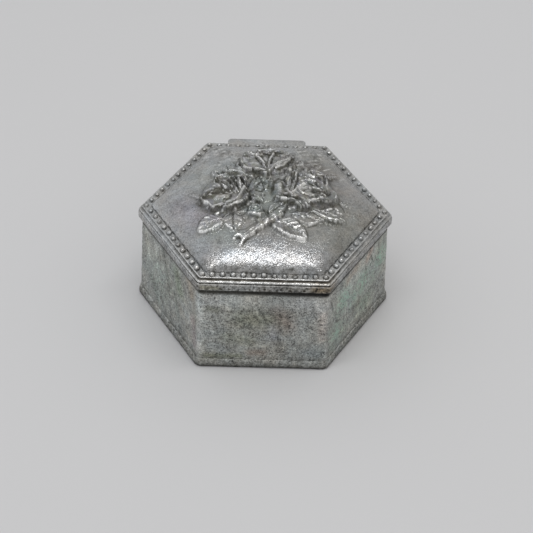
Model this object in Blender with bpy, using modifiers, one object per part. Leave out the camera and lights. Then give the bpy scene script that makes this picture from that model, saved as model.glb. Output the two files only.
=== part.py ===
"""Six-sided keepsake box of cast white metal, with a hinged domed lid.

Metres, +Z up. The origin is the centre of the flat underside, the corners of the hexagon
lie on +X and -X, the front is -Y and the hinge is at +Y.
"""

from math import atan2, cos, hypot, pi, radians, sin, tan

import bmesh
import bpy
from mathutils import Matrix, Vector
from mathutils.bvhtree import BVHTree

# Whole box
lid_across_flats = 0.0520
body_height = 0.0231
clearance = 0.0003
overrun = 0.0020
sides = 6
corner_steps = 3
edge_steps = 2
edge_angle = radians(40)
smooth_angle = radians(35)

# Foot and floor
foot_overhang = 0.0003
foot_height = 0.0024
foot_corner_radius = 0.0018
foot_edge_radius = 0.0005
floor_thickness = 0.0016
spigot_height = 0.0012
spigot_thickness = 0.0014

# Wall band
wall_thickness = 0.0016
wall_overhang_at_top = 0.0008
wall_overhang_at_bottom = 0.0003
wall_corner_radius = 0.0009
wall_edge_radius = 0.0002

# Floor lining
lining_thickness = 0.0010
lining_corner_radius = 0.0012
lining_edge_radius = 0.0002

# Lid rim and its mouldings, read upwards from the seat
band_height = 0.0019
band_edge_radius = 0.0002
quirk_height = 0.0002
quirk_depth = 0.0004
cove_height = 0.0009
cove_edge_inset = 0.0002
cove_top_inset = 0.0008
ledge_edge_height = 0.0003
ledge_edge_radius = 0.0001
rim_corner_radius = 0.0009
lip_depth = 0.0014
lip_thickness = 0.0010

# Beads along the ledge
bead_radius = 0.00066
bead_lift = 0.00015
bead_line_inset = 0.00175
beads_per_side = 12
bead_segments = 7
bead_rings = 4

# Dome of the lid
dome_inset = 0.0026
dome_rise = 0.0053
dome_foot_corner_radius = 0.0016
dome_thickness = 0.0013
dome_fullness = 2.5
dome_edge_power = 0.65
dome_corner_power = 2.5
dome_roundest_share = 0.96
dome_ring_shares = (0.12, 0.30, 0.48, 0.64, 0.76, 0.85, 0.91, 0.955, 0.985)
hollow_ring_shares = (0.15, 0.45, 0.70, 0.86, 0.96)
dome_side_steps = 3

# Hinge at the back
pin_diameter = 0.0009
knuckle_wall = 0.0005
hinge_length = 0.0190
middle_knuckle_length = 0.0060
tab_thickness = 0.0008
tab_reach = 0.0024
tab_corner_radius = 0.0012
tab_drop = 0.0009
axis_drop = 0.00055
web_step = 0.0002
heel_depth = 0.0020
heel_slope_drop = 0.0022
pin_end_bevel = 0.00015
open_angle = radians(105)
knuckle_segments = 20

# Rose spray in relief on the dome; places are shares of the dome's half width
rose_height = 0.0025
rose_petal_thickness = 0.00050
bud_height = 0.0018
leaf_edge_rise = 0.00055
leaf_blade_rise = 0.00040
leaf_rib_rise = 0.00095
leaf_sink = 0.00060
leaf_steps = 6
leaf_end_shares = (0.04, 0.97)
leaf_belly_power = 0.8
leaf_fullness_power = 0.75
stem_radius = 0.00085
twig_radius = 0.00045
stem_taper_share = 0.45
relief_segments = 9
relief_rings = 5

# centre x, centre y, radius, turn of the first petal
rose_shares = (
    (-0.410, -0.080, 0.240, 0.50),
    (0.390, -0.015, 0.272, 0.38),
    (0.005, 0.440, 0.245, 0.62),
)
bud_share = (-0.107, -0.338, 0.092)

# petals, distance from the centre, half length, half width, height of the middle
whorl_shares = (
    (5, 0.64, 0.38, 0.55, 0.40),
    (4, 0.36, 0.34, 0.42, 0.62),
    (3, 0.14, 0.24, 0.27, 0.78),
)
whorl_leans = (radians(28), radians(46), radians(70))
heart_width_share = 0.95
heart_height_share = 0.74

# base x, base y, tip x, tip y, half width
leaf_shares = (
    (-0.419, -0.350, -0.658, -0.547, 0.103),
    (-0.350, -0.270, -0.316, -0.577, 0.105),
    (0.081, -0.440, 0.385, -0.667, 0.111),
    (0.256, -0.325, 0.573, -0.450, 0.098),
    (0.449, -0.235, 0.769, -0.316, 0.094),
    (-0.192, 0.290, -0.430, 0.580, 0.085),
    (-0.363, 0.150, -0.600, 0.300, 0.080),
    (0.214, 0.290, 0.450, 0.620, 0.088),
    (0.400, 0.200, 0.700, 0.400, 0.090),
    (0.010, -0.330, 0.060, -0.020, 0.075),
    (-0.180, 0.000, 0.000, 0.210, 0.080),
)

# points along each stem
stem_shares = (
    ((-0.260, -0.725), (-0.150, -0.637), (-0.034, -0.521), (0.098, -0.402), (0.209, -0.269)),
    ((-0.170, -0.655), (-0.235, -0.700), (-0.315, -0.705)),
)
twig_shares = (
    ((-0.600, -0.070), (-0.700, -0.030), (-0.825, 0.012)),
    ((0.600, -0.080), (0.710, -0.075), (0.830, -0.098)),
)

# Worked out from the sizes above
side_slope = cos(pi / sides)
rim_apothem = lid_across_flats / 2
wall_top_apothem = rim_apothem - wall_overhang_at_top
wall_bottom_apothem = rim_apothem - wall_overhang_at_bottom
foot_apothem = rim_apothem + foot_overhang
wall_bottom = foot_height + clearance
spigot_apothem = wall_bottom_apothem - wall_thickness - clearance
spigot_top = foot_height + spigot_height
pocket_apothem = spigot_apothem - spigot_thickness
lining_apothem = pocket_apothem - clearance
lining_bottom = floor_thickness + clearance

seat_height = body_height + clearance
band_top = seat_height + band_height
quirk_top = band_top + quirk_height
cove_top = quirk_top + cove_height
ledge_height = cove_top + ledge_edge_height
lip_apothem = wall_top_apothem - wall_thickness - clearance
hollow_apothem = lip_apothem - lip_thickness
bead_line_apothem = rim_apothem - bead_line_inset
dome_apothem = rim_apothem - dome_inset

pin_radius = pin_diameter / 2
bore_radius = pin_radius + clearance
knuckle_radius = bore_radius + knuckle_wall
tab_top = ledge_height - tab_drop
tab_bottom = tab_top - tab_thickness
axis_height = seat_height - axis_drop
axis_back = rim_apothem + clearance + knuckle_radius
weld_distance = clearance / 10


def clear_scene():
    for item in list(bpy.data.objects):
        bpy.data.objects.remove(item, do_unlink=True)


def new_collection(name, hidden=False):
    collection = bpy.data.collections.new(name)
    bpy.context.scene.collection.children.link(collection)
    collection.hide_render = hidden
    return collection


def finish_material(name, color, roughness, metallic):
    material = bpy.data.materials.new(name)
    material.use_nodes = True
    shader = material.node_tree.nodes["Principled BSDF"]
    shader.inputs["Base Color"].default_value = color
    shader.inputs["Roughness"].default_value = roughness
    shader.inputs["Metallic"].default_value = metallic
    return material


def lid_metal():
    return finish_material("lid_cast_white_metal", (0.36, 0.36, 0.37, 1), 0.34, 1)


def wall_metal():
    return finish_material("wall_cast_white_metal", (0.27, 0.28, 0.27, 1), 0.55, 1)


def base_metal():
    return finish_material("base_cast_white_metal", (0.25, 0.26, 0.25, 1), 0.50, 1)


def pin_steel():
    return finish_material("hinge_pin_steel", (0.42, 0.42, 0.43, 1), 0.30, 1)


def lining_felt():
    return finish_material("floor_lining_felt", (0.12, 0.02, 0.03, 1), 0.95, 0)


def add_object(name, body, collection):
    """Turn a bmesh into an object in a collection."""
    mesh = bpy.data.meshes.new(name)
    body.to_mesh(mesh)
    body.free()
    item = bpy.data.objects.new(name, mesh)
    collection.objects.link(item)
    return item


def add_cutter(name, body):
    item = add_object(name, body, cutters)
    item.hide_render = True
    item.display_type = "WIRE"
    return item


def cut(item, tool):
    change = item.modifiers.new("cut_" + tool.name, "BOOLEAN")
    change.operation = "DIFFERENCE"
    change.object = tool


def unite(item, tool, solver="EXACT"):
    change = item.modifiers.new("join_" + tool.name, "BOOLEAN")
    change.operation = "UNION"
    change.object = tool
    change.solver = solver


def round_edges(item, radius):
    """Round the edges sharper than the steps of a rounded corner."""
    change = item.modifiers.new("rounded_edges", "BEVEL")
    change.width = radius
    change.segments = edge_steps
    change.limit_method = "ANGLE"
    change.angle_limit = edge_angle


def evaluated_mesh(item):
    bpy.context.view_layer.update()
    depsgraph = bpy.context.evaluated_depsgraph_get()
    return bpy.data.meshes.new_from_object(item.evaluated_get(depsgraph))


def fused(name, pieces, solver="EXACT"):
    """One closed cutter made of pieces that run into each other."""
    base = pieces[0]
    for piece in pieces[1:]:
        unite(base, piece, solver)
    mesh = evaluated_mesh(base)
    for piece in pieces:
        bpy.data.objects.remove(piece, do_unlink=True)
    body = bmesh.new()
    body.from_mesh(mesh)
    bpy.data.meshes.remove(mesh)
    return add_cutter(name, body)


def smooth(item):
    item.data.shade_smooth()
    item.data.set_sharp_from_angle(angle=smooth_angle)


def hexagonal_block(bottom_apothem, top_apothem, bottom, top, corner_radius):
    """A six-sided block with corners on the X axis and its upright corners rounded."""
    body = bmesh.new()
    bmesh.ops.create_cone(
        body,
        cap_ends=True,
        segments=sides,
        radius1=bottom_apothem / side_slope,
        radius2=top_apothem / side_slope,
        depth=top - bottom,
        matrix=Matrix.Translation((0, 0, (bottom + top) / 2)) @ Matrix.Rotation(pi / sides, 4, "Z"),
    )
    upright = [edge for edge in body.edges if abs(edge.verts[0].co.z - edge.verts[1].co.z) > clearance]
    bmesh.ops.bevel(
        body,
        geom=upright,
        offset=corner_radius * tan(pi / sides),
        segments=corner_steps,
        profile=0.5,
        affect="EDGES",
    )
    return body


def box(low, high):
    """A box between two opposite corners."""
    low = Vector(low)
    high = Vector(high)
    body = bmesh.new()
    place = Matrix.Translation((low + high) / 2) @ Matrix.Diagonal((*(high - low), 1))
    bmesh.ops.create_cube(body, size=1, matrix=place)
    return body


def rod(radius, start, end, segments=knuckle_segments):
    """A round rod along X on the hinge axis."""
    body = bmesh.new()
    place = Matrix.Translation(((start + end) / 2, axis_back, axis_height)) @ Matrix.Rotation(pi / 2, 4, "Y")
    bmesh.ops.create_cone(
        body,
        cap_ends=True,
        segments=segments,
        radius1=radius,
        radius2=radius,
        depth=end - start,
        matrix=place,
    )
    return body


def polar(radius, angle):
    return Vector((radius * cos(angle), radius * sin(angle), 0))


def hexagon_ring(apothem, corner_radius, height, side_steps):
    """Points of a hexagon with rounded corners, anticlockwise from the corner on +X."""
    step_angle = 2 * pi / sides
    arcs = []
    for side in range(sides):
        corner_angle = side * step_angle
        centre = polar((apothem - corner_radius) / side_slope, corner_angle)
        turns = [corner_angle + step_angle * (step / corner_steps - 0.5) for step in range(corner_steps + 1)]
        arcs.append([centre + polar(corner_radius, turn) for turn in turns])
    ring = []
    for side in range(sides):
        following = arcs[(side + 1) % sides][0]
        ring.extend(arcs[side])
        ring.extend(arcs[side][-1].lerp(following, step / side_steps) for step in range(1, side_steps))
    return [Vector((point.x, point.y, height)) for point in ring]


def skin(rings):
    """A closed loft through rings of equally many points, capped at both ends."""
    body = bmesh.new()
    rows = [[body.verts.new(point) for point in ring] for ring in rings]
    count = len(rows[0])
    for lower, upper in zip(rows, rows[1:]):
        for index in range(count):
            after = (index + 1) % count
            body.faces.new((lower[index], lower[after], upper[after], upper[index]))
    body.faces.new(rows[0][::-1])
    body.faces.new(rows[-1])
    bmesh.ops.recalc_face_normals(body, faces=body.faces)
    return body


def dome_ring(share, apothem, foot, rise, foot_corner_radius):
    """One ring of a dome whose corners grow rounder towards the crown."""
    reach = apothem * share
    crispness = share ** dome_corner_power
    corner_share = dome_roundest_share + (foot_corner_radius / apothem - dome_roundest_share) * crispness
    height = foot + rise * (1 - share ** dome_fullness) ** dome_edge_power
    return hexagon_ring(reach, reach * corner_share, height, dome_side_steps)


def rim_ring(apothem, height, corner_radius=rim_corner_radius):
    return hexagon_ring(apothem, corner_radius, height, dome_side_steps)


def dome_surface_rings():
    return [
        dome_ring(share, dome_apothem, ledge_height, dome_rise, dome_foot_corner_radius)
        for share in dome_ring_shares
    ]


def moulding_rings():
    """The mouldings of the rim, from the foot of the dome down to the seat."""
    band = rim_apothem
    cove_foot = band - cove_edge_inset
    cove_head = band - cove_top_inset
    return [
        rim_ring(dome_apothem, ledge_height, dome_foot_corner_radius),
        rim_ring(cove_head - ledge_edge_radius, ledge_height),
        rim_ring(cove_head, ledge_height - ledge_edge_radius),
        rim_ring(cove_head, cove_top),
        rim_ring((cove_foot + cove_head) / 2 - cove_edge_inset, (cove_top + quirk_top) / 2),
        rim_ring(cove_foot, quirk_top + quirk_height),
        rim_ring(cove_foot, quirk_top),
        rim_ring(band - quirk_depth, quirk_top),
        rim_ring(band - quirk_depth, band_top),
        rim_ring(band - band_edge_radius, band_top),
        rim_ring(band, band_top - band_edge_radius),
        rim_ring(band, seat_height + band_edge_radius),
        rim_ring(band - band_edge_radius, seat_height),
    ]


def hollow_rings():
    """The locating lip and the hollow under the dome, from the seat inwards and up."""
    lip_bottom = seat_height - lip_depth
    hollow_rise = ledge_height + dome_rise - dome_thickness - cove_top
    rings = [
        rim_ring(lip_apothem, seat_height),
        rim_ring(lip_apothem, lip_bottom),
        rim_ring(hollow_apothem, lip_bottom),
        rim_ring(hollow_apothem, band_top),
    ]
    for share in reversed(hollow_ring_shares):
        rings.append(dome_ring(share, hollow_apothem, cove_top, hollow_rise, rim_corner_radius))
    return rings


def bead_row():
    """Beads along the ledge, one of them on each corner."""
    body = bmesh.new()
    radius = bead_line_apothem / side_slope
    for side in range(sides):
        start = polar(radius, 2 * pi * side / sides)
        end = polar(radius, 2 * pi * (side + 1) / sides)
        for step in range(beads_per_side):
            place = start.lerp(end, step / beads_per_side)
            place.z = ledge_height + bead_lift
            bmesh.ops.create_uvsphere(
                body,
                u_segments=bead_segments,
                v_segments=bead_rings,
                radius=bead_radius,
                matrix=Matrix.Translation(place) @ Matrix.Rotation(pi / sides * side, 4, "Z"),
            )
    return add_cutter("bead_row", body)


class Dome:
    """Height of the bare dome at any place, for what lies on it."""

    def __init__(self):
        body = skin(dome_surface_rings() + moulding_rings()[:1])
        self.tree = BVHTree.FromBMesh(body)
        body.free()

    def point(self, x_share, y_share, rise):
        above = Vector((x_share * dome_apothem, y_share * dome_apothem, ledge_height + 2 * dome_rise))
        place = self.tree.ray_cast(above, Vector((0, 0, -1)))[0]
        return place + Vector((0, 0, rise))


def ellipsoid(name, place, half_sizes):
    """A squashed ball, placed by a matrix."""
    body = bmesh.new()
    bmesh.ops.create_uvsphere(
        body,
        u_segments=relief_segments,
        v_segments=relief_rings,
        radius=1,
        matrix=place @ Matrix.Diagonal((*half_sizes, 1)),
    )
    return add_cutter(name, body)


def rose(name, dome, centre_x, centre_y, radius_share, first_turn):
    """A heart with whorls of petals that lean further in towards the middle."""
    radius = radius_share * dome_apothem
    centre = dome.point(centre_x, centre_y, 0)
    heart_radius = radius * heart_width_share
    heart_sizes = (heart_radius, heart_radius, rose_height * heart_height_share)
    pieces = [ellipsoid(name + "_heart", Matrix.Translation(centre), heart_sizes)]
    for whorl, (shares, lean) in enumerate(zip(whorl_shares, whorl_leans)):
        count, distance, half_length, half_width, height = shares
        for petal in range(count):
            turn = 2 * pi * (petal + whorl / 2 + first_turn) / count - pi / 2
            place = centre + polar(radius * distance, turn) + Vector((0, 0, rose_height * height))
            pose = Matrix.Translation(place) @ Matrix.Rotation(turn, 4, "Z") @ Matrix.Rotation(-lean, 4, "Y")
            sizes = (radius * half_length, radius * half_width, rose_petal_thickness)
            pieces.append(ellipsoid(f"{name}_petal_{whorl}_{petal}", pose, sizes))
    return fused(name, pieces, "MANIFOLD")


def bud(name, dome, centre_x, centre_y, radius_share):
    """A closed bud held by two sepals."""
    radius = radius_share * dome_apothem
    centre = dome.point(centre_x, centre_y, 0)
    pieces = [ellipsoid(name + "_heart", Matrix.Translation(centre), (radius, radius, bud_height))]
    for side in (-1, 1):
        place = centre + Vector((side * radius / 2, -radius / 2, bud_height / 2))
        pose = Matrix.Translation(place) @ Matrix.Rotation(side * pi / 5, 4, "Z")
        pieces.append(ellipsoid(f"{name}_sepal_{side}", pose, (radius * heart_height_share, radius / 2, bud_height / 2)))
    return fused(name, pieces)


def leaf(name, dome, base_x, base_y, tip_x, tip_y, half_width_share):
    """A pointed leaf with raised edges and a raised rib, bent to the dome."""
    along = Vector((tip_x - base_x, tip_y - base_y))
    across = Vector((-along.y, along.x)).normalized()
    section = (
        (1, -leaf_sink),
        (1, leaf_edge_rise),
        (0.5, leaf_blade_rise),
        (0, leaf_rib_rise),
        (-0.5, leaf_blade_rise),
        (-1, leaf_edge_rise),
        (-1, -leaf_sink),
    )
    rings = []
    first, last = leaf_end_shares
    for step in range(leaf_steps + 1):
        share = first + (last - first) * step / leaf_steps
        width = half_width_share * sin(pi * share ** leaf_belly_power) ** leaf_fullness_power
        middle = Vector((base_x, base_y)) + along * share
        places = [(middle + across * width * side, rise) for side, rise in section]
        rings.append([dome.point(place.x, place.y, rise) for place, rise in places])
    return add_cutter(name, skin(rings))


def stem(name, dome, places, radius):
    """A round stem laid along the dome, thinner at its far end."""
    curve = bpy.data.curves.new(name, "CURVE")
    curve.dimensions = "3D"
    curve.bevel_depth = radius
    curve.bevel_resolution = 1
    curve.use_fill_caps = True
    spline = curve.splines.new("POLY")
    spline.points.add(len(places) - 1)
    for index, (x_share, y_share) in enumerate(places):
        taper = 1 - stem_taper_share * index / (len(places) - 1)
        spline.points[index].co = (*dome.point(x_share, y_share, radius * taper / 2), 1)
        spline.points[index].radius = taper
    item = bpy.data.objects.new(name, curve)
    cutters.objects.link(item)
    mesh = evaluated_mesh(item)
    body = bmesh.new()
    body.from_mesh(mesh)
    body.transform(item.matrix_world)
    bmesh.ops.remove_doubles(body, verts=body.verts, dist=weld_distance)
    bmesh.ops.recalc_face_normals(body, faces=body.faces)
    bpy.data.meshes.remove(mesh)
    bpy.data.objects.remove(item, do_unlink=True)
    return add_cutter(name, body)


def rose_spray():
    """The whole relief: three roses, a bud, leaves, stems and twigs."""
    dome = Dome()
    pieces = [rose(f"rose_{index}", dome, *shares) for index, shares in enumerate(rose_shares)]
    pieces.append(bud("bud", dome, *bud_share))
    pieces.extend(leaf(f"leaf_{index}", dome, *shares) for index, shares in enumerate(leaf_shares))
    pieces.extend(stem(f"stem_{index}", dome, places, stem_radius) for index, places in enumerate(stem_shares))
    pieces.extend(stem(f"twig_{index}", dome, places, twig_radius) for index, places in enumerate(twig_shares))
    return pieces


def hinge_tab():
    """The tab that slopes down from the ledge behind the rim and covers the hinge."""
    half = hinge_length / 2
    root = rim_apothem - overrun / 2
    body = box((-half, root, tab_bottom), (half, rim_apothem + tab_reach, tab_top))
    for vert in body.verts:
        if vert.co.y < rim_apothem and vert.co.z > tab_top - tab_thickness / 2:
            vert.co.z = ledge_height - ledge_edge_radius
    corners = [
        edge
        for edge in body.edges
        if all(vert.co.y > rim_apothem for vert in edge.verts) and edge.verts[0].co.x == edge.verts[1].co.x
    ]
    bmesh.ops.bevel(
        body, geom=corners, offset=tab_corner_radius, segments=corner_steps, profile=0.5, affect="EDGES"
    )
    return add_cutter("hinge_tab", body)


def lid_knuckle(side):
    """An outer knuckle with the web that hangs it from the tab."""
    inner = middle_knuckle_length / 2 + clearance
    outer = hinge_length / 2
    ends = sorted((side * inner, side * outer))
    barrel = add_cutter("lid_knuckle_barrel", rod(knuckle_radius, *ends))
    web = add_cutter(
        "lid_knuckle_web",
        box(
            (ends[0], rim_apothem - overrun, seat_height + web_step),
            (ends[1], axis_back, tab_bottom + tab_thickness / 2),
        ),
    )
    return fused("lid_knuckle", [barrel, web])


def hinge_bore():
    half = hinge_length / 2 + overrun
    return add_cutter("hinge_bore", rod(bore_radius, -half, half))


def heel_reach():
    """How far behind the axis the heel stands, so that the tab stops on it at the open angle."""
    corner_back = rim_apothem + tab_reach - axis_back
    corner_up = tab_bottom - axis_height
    corner_angle = atan2(corner_up, corner_back)
    return hypot(corner_back, corner_up) * cos(corner_angle - open_angle) - clearance


def middle_knuckle():
    """The body's knuckle on its heel, whose back face stops the open lid."""
    half = middle_knuckle_length / 2
    barrel = add_cutter("body_knuckle_barrel", rod(knuckle_radius, -half, half))
    wall_side = wall_top_apothem - wall_thickness / 2
    heel_bottom = axis_height - heel_depth
    heel = box((-half, wall_side, heel_bottom), (half, axis_back + heel_reach(), axis_height))
    for vert in heel.verts:
        if vert.co.y < axis_back and vert.co.z < axis_height - heel_depth / 2:
            vert.co.z -= heel_slope_drop
    return fused("body_knuckle", [barrel, add_cutter("body_knuckle_heel", heel)])


def make_base_plate():
    foot = hexagonal_block(foot_apothem, foot_apothem, 0, foot_height, foot_corner_radius)
    item = add_object("base_plate", foot, parts)
    round_edges(item, foot_edge_radius)
    spigot = hexagonal_block(
        spigot_apothem, spigot_apothem, floor_thickness, spigot_top, wall_corner_radius
    )
    unite(item, add_cutter("spigot", spigot))
    pocket = hexagonal_block(
        pocket_apothem, pocket_apothem, floor_thickness, spigot_top + overrun, lining_corner_radius
    )
    cut(item, add_cutter("floor_pocket", pocket))
    item.data.materials.append(base_metal())
    smooth(item)
    return item


def make_wall_band():
    outside = hexagonal_block(
        wall_bottom_apothem, wall_top_apothem, wall_bottom, body_height, wall_corner_radius
    )
    item = add_object("wall_band", outside, parts)
    round_edges(item, wall_edge_radius)
    lean = (wall_bottom_apothem - wall_top_apothem) / (body_height - wall_bottom)
    inside = hexagonal_block(
        wall_bottom_apothem - wall_thickness + lean * overrun,
        wall_top_apothem - wall_thickness - lean * overrun,
        wall_bottom - overrun,
        body_height + overrun,
        wall_corner_radius,
    )
    cut(item, add_cutter("box_cavity", inside))
    unite(item, middle_knuckle())
    cut(item, hinge_bore())
    item.data.materials.append(wall_metal())
    smooth(item)
    return item


def make_floor_lining():
    slab = hexagonal_block(
        lining_apothem, lining_apothem, lining_bottom, lining_bottom + lining_thickness, lining_corner_radius
    )
    item = add_object("floor_lining", slab, parts)
    round_edges(item, lining_edge_radius)
    item.data.materials.append(lining_felt())
    smooth(item)
    return item


def make_hinge_pin():
    item = add_object("hinge_pin", rod(pin_radius, -hinge_length / 2, hinge_length / 2), parts)
    round_edges(item, pin_end_bevel)
    item.data.materials.append(pin_steel())
    smooth(item)
    return item


def make_lid():
    item = add_object("lid", skin(dome_surface_rings() + moulding_rings() + hollow_rings()), parts)
    unite(item, bead_row())
    for piece in rose_spray():
        unite(item, piece)
    unite(item, hinge_tab())
    for side in (-1, 1):
        unite(item, lid_knuckle(side))
    cut(item, hinge_bore())
    item.data.materials.append(lid_metal())
    smooth(item)
    return item


def hang_lid(lid):
    """Parent the lid to an empty on the hinge axis."""
    axis = bpy.data.objects.new("lid_axis", None)
    axis.location = (0, axis_back, axis_height)
    parts.objects.link(axis)
    bpy.context.view_layer.update()
    lid.parent = axis
    lid.matrix_parent_inverse = axis.matrix_world.inverted()


clear_scene()
parts = new_collection("keepsake_box")
cutters = new_collection("cutters", hidden=True)
make_base_plate()
make_wall_band()
make_floor_lining()
make_hinge_pin()
hang_lid(make_lid())
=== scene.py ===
"""Looks for the six-sided keepsake box of cast white metal with a rose spray on its lid.

Metres, +Z up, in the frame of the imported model. The tables and the relief are in millimetres, as
seen from above: x to the right, y away from the front.
"""

import bmesh
import bpy
import numpy as np
from bpy.props import FloatProperty, FloatVectorProperty, IntProperty, PointerProperty
from mathutils import Matrix, Vector


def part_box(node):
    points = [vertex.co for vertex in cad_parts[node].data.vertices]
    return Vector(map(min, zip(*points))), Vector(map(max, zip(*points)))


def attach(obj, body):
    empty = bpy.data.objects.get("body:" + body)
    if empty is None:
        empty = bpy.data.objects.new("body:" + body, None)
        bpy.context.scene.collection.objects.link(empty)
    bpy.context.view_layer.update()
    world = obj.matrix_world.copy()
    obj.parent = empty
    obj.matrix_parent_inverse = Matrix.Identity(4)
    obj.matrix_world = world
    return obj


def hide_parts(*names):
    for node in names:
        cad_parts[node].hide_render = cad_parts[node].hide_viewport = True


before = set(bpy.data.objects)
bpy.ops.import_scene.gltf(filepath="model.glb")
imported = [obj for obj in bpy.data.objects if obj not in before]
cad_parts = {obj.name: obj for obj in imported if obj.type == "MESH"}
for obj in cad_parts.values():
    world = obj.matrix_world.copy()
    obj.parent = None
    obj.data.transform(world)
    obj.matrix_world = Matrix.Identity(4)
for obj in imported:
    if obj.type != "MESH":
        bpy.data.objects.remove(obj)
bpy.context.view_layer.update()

bl_info = {
    "name": "Keepsake box",
    "version": (1, 0, 0),
    "blender": (4, 5, 0),
    "location": "View3D > Sidebar > Keepsake box",
    "description": "Builds the visible pieces of a cast white metal keepsake box",
    "category": "Add Mesh",
}

mm = 0.001
sixth = np.pi / 3

# The photograph's view: where the camera stands, its axes, its lens and the side of the picture in pixels
view_place = np.array((-2.53, -363.29, 318.64)) * mm
view_right = np.array((0.99959, 0.01293, 0.02556))
view_upward = np.array((-0.02784, 0.64866, 0.76057))
view_back = np.array((-0.00675, -0.76097, 0.64876))
lens_mm = 133.95
sensor_mm = 36
picture_pixels = 533

# Levels that the pieces share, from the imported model
foot_top = 2.4 * mm
wall_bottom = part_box("wall_band")[0].z
wall_top = 23.1 * mm
cove_top = 26.4 * mm
ledge = 26.7 * mm
floor_top = 1.6 * mm
axis_back = 27.55 * mm
axis_height = 22.85 * mm
knuckle_radius = 1.25 * mm
bore_radius = 0.75 * mm
hinge_half = 9.5 * mm
lip_inset = 3.7 * mm
soft_edge = 0.12 * mm

# Outline of the dome: how round it is near the crown, and the powers of its fall and its belly
crown_round = 0.96
dome_fall = 2.5
dome_belly = 0.65

# Shares of the dome's reach: where the fine lattice ends, the rings from there to the foot, and the least one
lattice_share = 0.965
foot_shares = (0.972, 0.979, 0.985, 0.990, 0.994, 0.997, 0.999, 1.0)
least_share = 1e-6

# Petals: height of the rim, depth of the cup, reach inwards, then x and y of the rim's points, anticlockwise
left_rose = (
    (0.95, 0.3, 2, -12.6, 1.6, -13.6, 0.3, -14.6, -1.7, -15.2, -3.4),
    (1.75, 0.4, 2.3, -15.3, -2.6, -14.6, -4.4, -13.4, -5.3, -12.5, -6.6, -11.4, -6.9, -10.2, -6.5, -9, -6.3),
    (1.8, 0.22, 1.5, -9.9, -6.9, -9, -7, -8, -6.8, -6.8, -6.3, -5.6, -5.7, -4.6, -4.6, -4.1, -3.2, -4, -1.8,
     -4.6, -0.6),
    (2.05, 0.25, 2, -9.2, -6.5, -8.2, -6.1, -7.2, -5.4, -6.3, -4.3, -5.6, -3, -5.1, -1.7, -4.9, -0.5, -5.6,
     0.3),
    (2, 0.35, 1.6, -4.7, 2.6, -5.1, 4.4, -6.2, 5.2, -7.4, 5.4, -8.6, 5.3, -9.6, 4.8, -10.3, 4.1),
    (1.9, 0.3, 1.2, -9.8, 4.4, -11, 3.8, -12, 3, -12.2, 1.6),
    (1.75, 0.3, 0.6, -8.6, -2, -10.2, -1.5, -11.6, -1.3, -12.8, -1.6, -13.6, -2.2),
)
right_rose = (
    (1.95, 0.4, 1.6, 5.3, -2.7, 5.2, 0, 5.4, 2),
    (1.9, 0.25, 1.2, 2.4, -3.5, 3.6, -4.1, 4.8, -4.3, 6, -4.8, 7.2, -5.4, 8.2, -6.2),
    (2.2, 0.35, 2.2, 4.2, -2.6, 5.4, -3.2, 6.6, -3.5, 7.6, -4.2, 8.6, -5.2, 9.8, -6.1),
    (1.9, 0.35, 2, 9.6, -6, 10.5, -4.9, 11.8, -4.3, 13.2, -4, 14.8, -3.8, 16.1, -2.8, 16.4, -1, 15.6, 0.8),
    (2, 0.25, 1, 10.2, -4.6, 11.4, -3.8, 12.8, -3.5, 14, -3.4),
    (1.6, 0.3, 1.6, 14, 0.8, 14.3, 2.9, 14.1, 5.4, 13.4, 7.1, 12.1, 7.9, 10.7, 7.5, 9.2, 6.4, 8, 5.4),
    (1.6, 0.3, 1.8, 8.2, 5.8, 6.9, 6.4, 5.6, 5.9, 4.8, 4.1, 4.4, 1.8, 4.7, -0.6, 5.4, -2.4),
    (2.25, 0.35, 1.1, 7, 4.6, 6.8, 2.6, 6.5, 0.6, 6.1, -1.2, 5.6, -2.9),
    (2.1, 0.35, 1.2, 13.3, 1.3, 13.2, 3, 12.4, 4.6, 11, 5, 9.8, 5.6),
    (2.15, 0.3, 1.1, 12.5, 0.2, 12.2, 1.9, 11.1, 2.7, 10, 3.2, 8.6, 3.2),
    (2, 0.25, 1.7, 8, -1.9, 9.2, -1.2, 10.4, -0.9, 11.6, -0.9, 12.8, -1.3, 13.9, -1.9),
)
back_rose = (
    (1.05, 0.2, 1, -4.2, 12.2, -5.8, 11.9, -6.8, 10.5, -6.6, 8.8, -5.8, 7.5, -4.4, 6.6),
    (1.15, 0.25, 1.2, 1, 6.4, 2.6, 7.3, 4.1, 7.9, 5.3, 8.6, 6.2, 10, 6.5, 11.7, 6.2, 13.2, 5.2, 14.4),
    (1.9, 0.25, 2.4, -6, 9.6, -5.1, 7.7, -3.9, 6.9, -2.7, 6.5, -1.5, 6.1, -0.1, 5.7),
    (1.9, 0.22, 2, 0.6, 6.2, 1.6, 7.4, 2.4, 8.3, 3.3, 9.2, 4.3, 9.9, 5.2, 10.9, 5.4, 12.4),
    (2.05, 0.18, 2, -2.8, 13.2, -3.9, 14, -5.1, 13.6, -6, 12.1, -6.2, 10),
    (1.95, 0.18, 2, 5.6, 12.2, 5.2, 13.8, 4.3, 14.7, 3.1, 15.2, 1.8, 14.9),
    (2.4, 0.3, 1.6, 1.9, 14.2, 0.8, 15, -0.5, 15.3, -1.8, 14.9, -2.6, 13.8),
)

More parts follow.
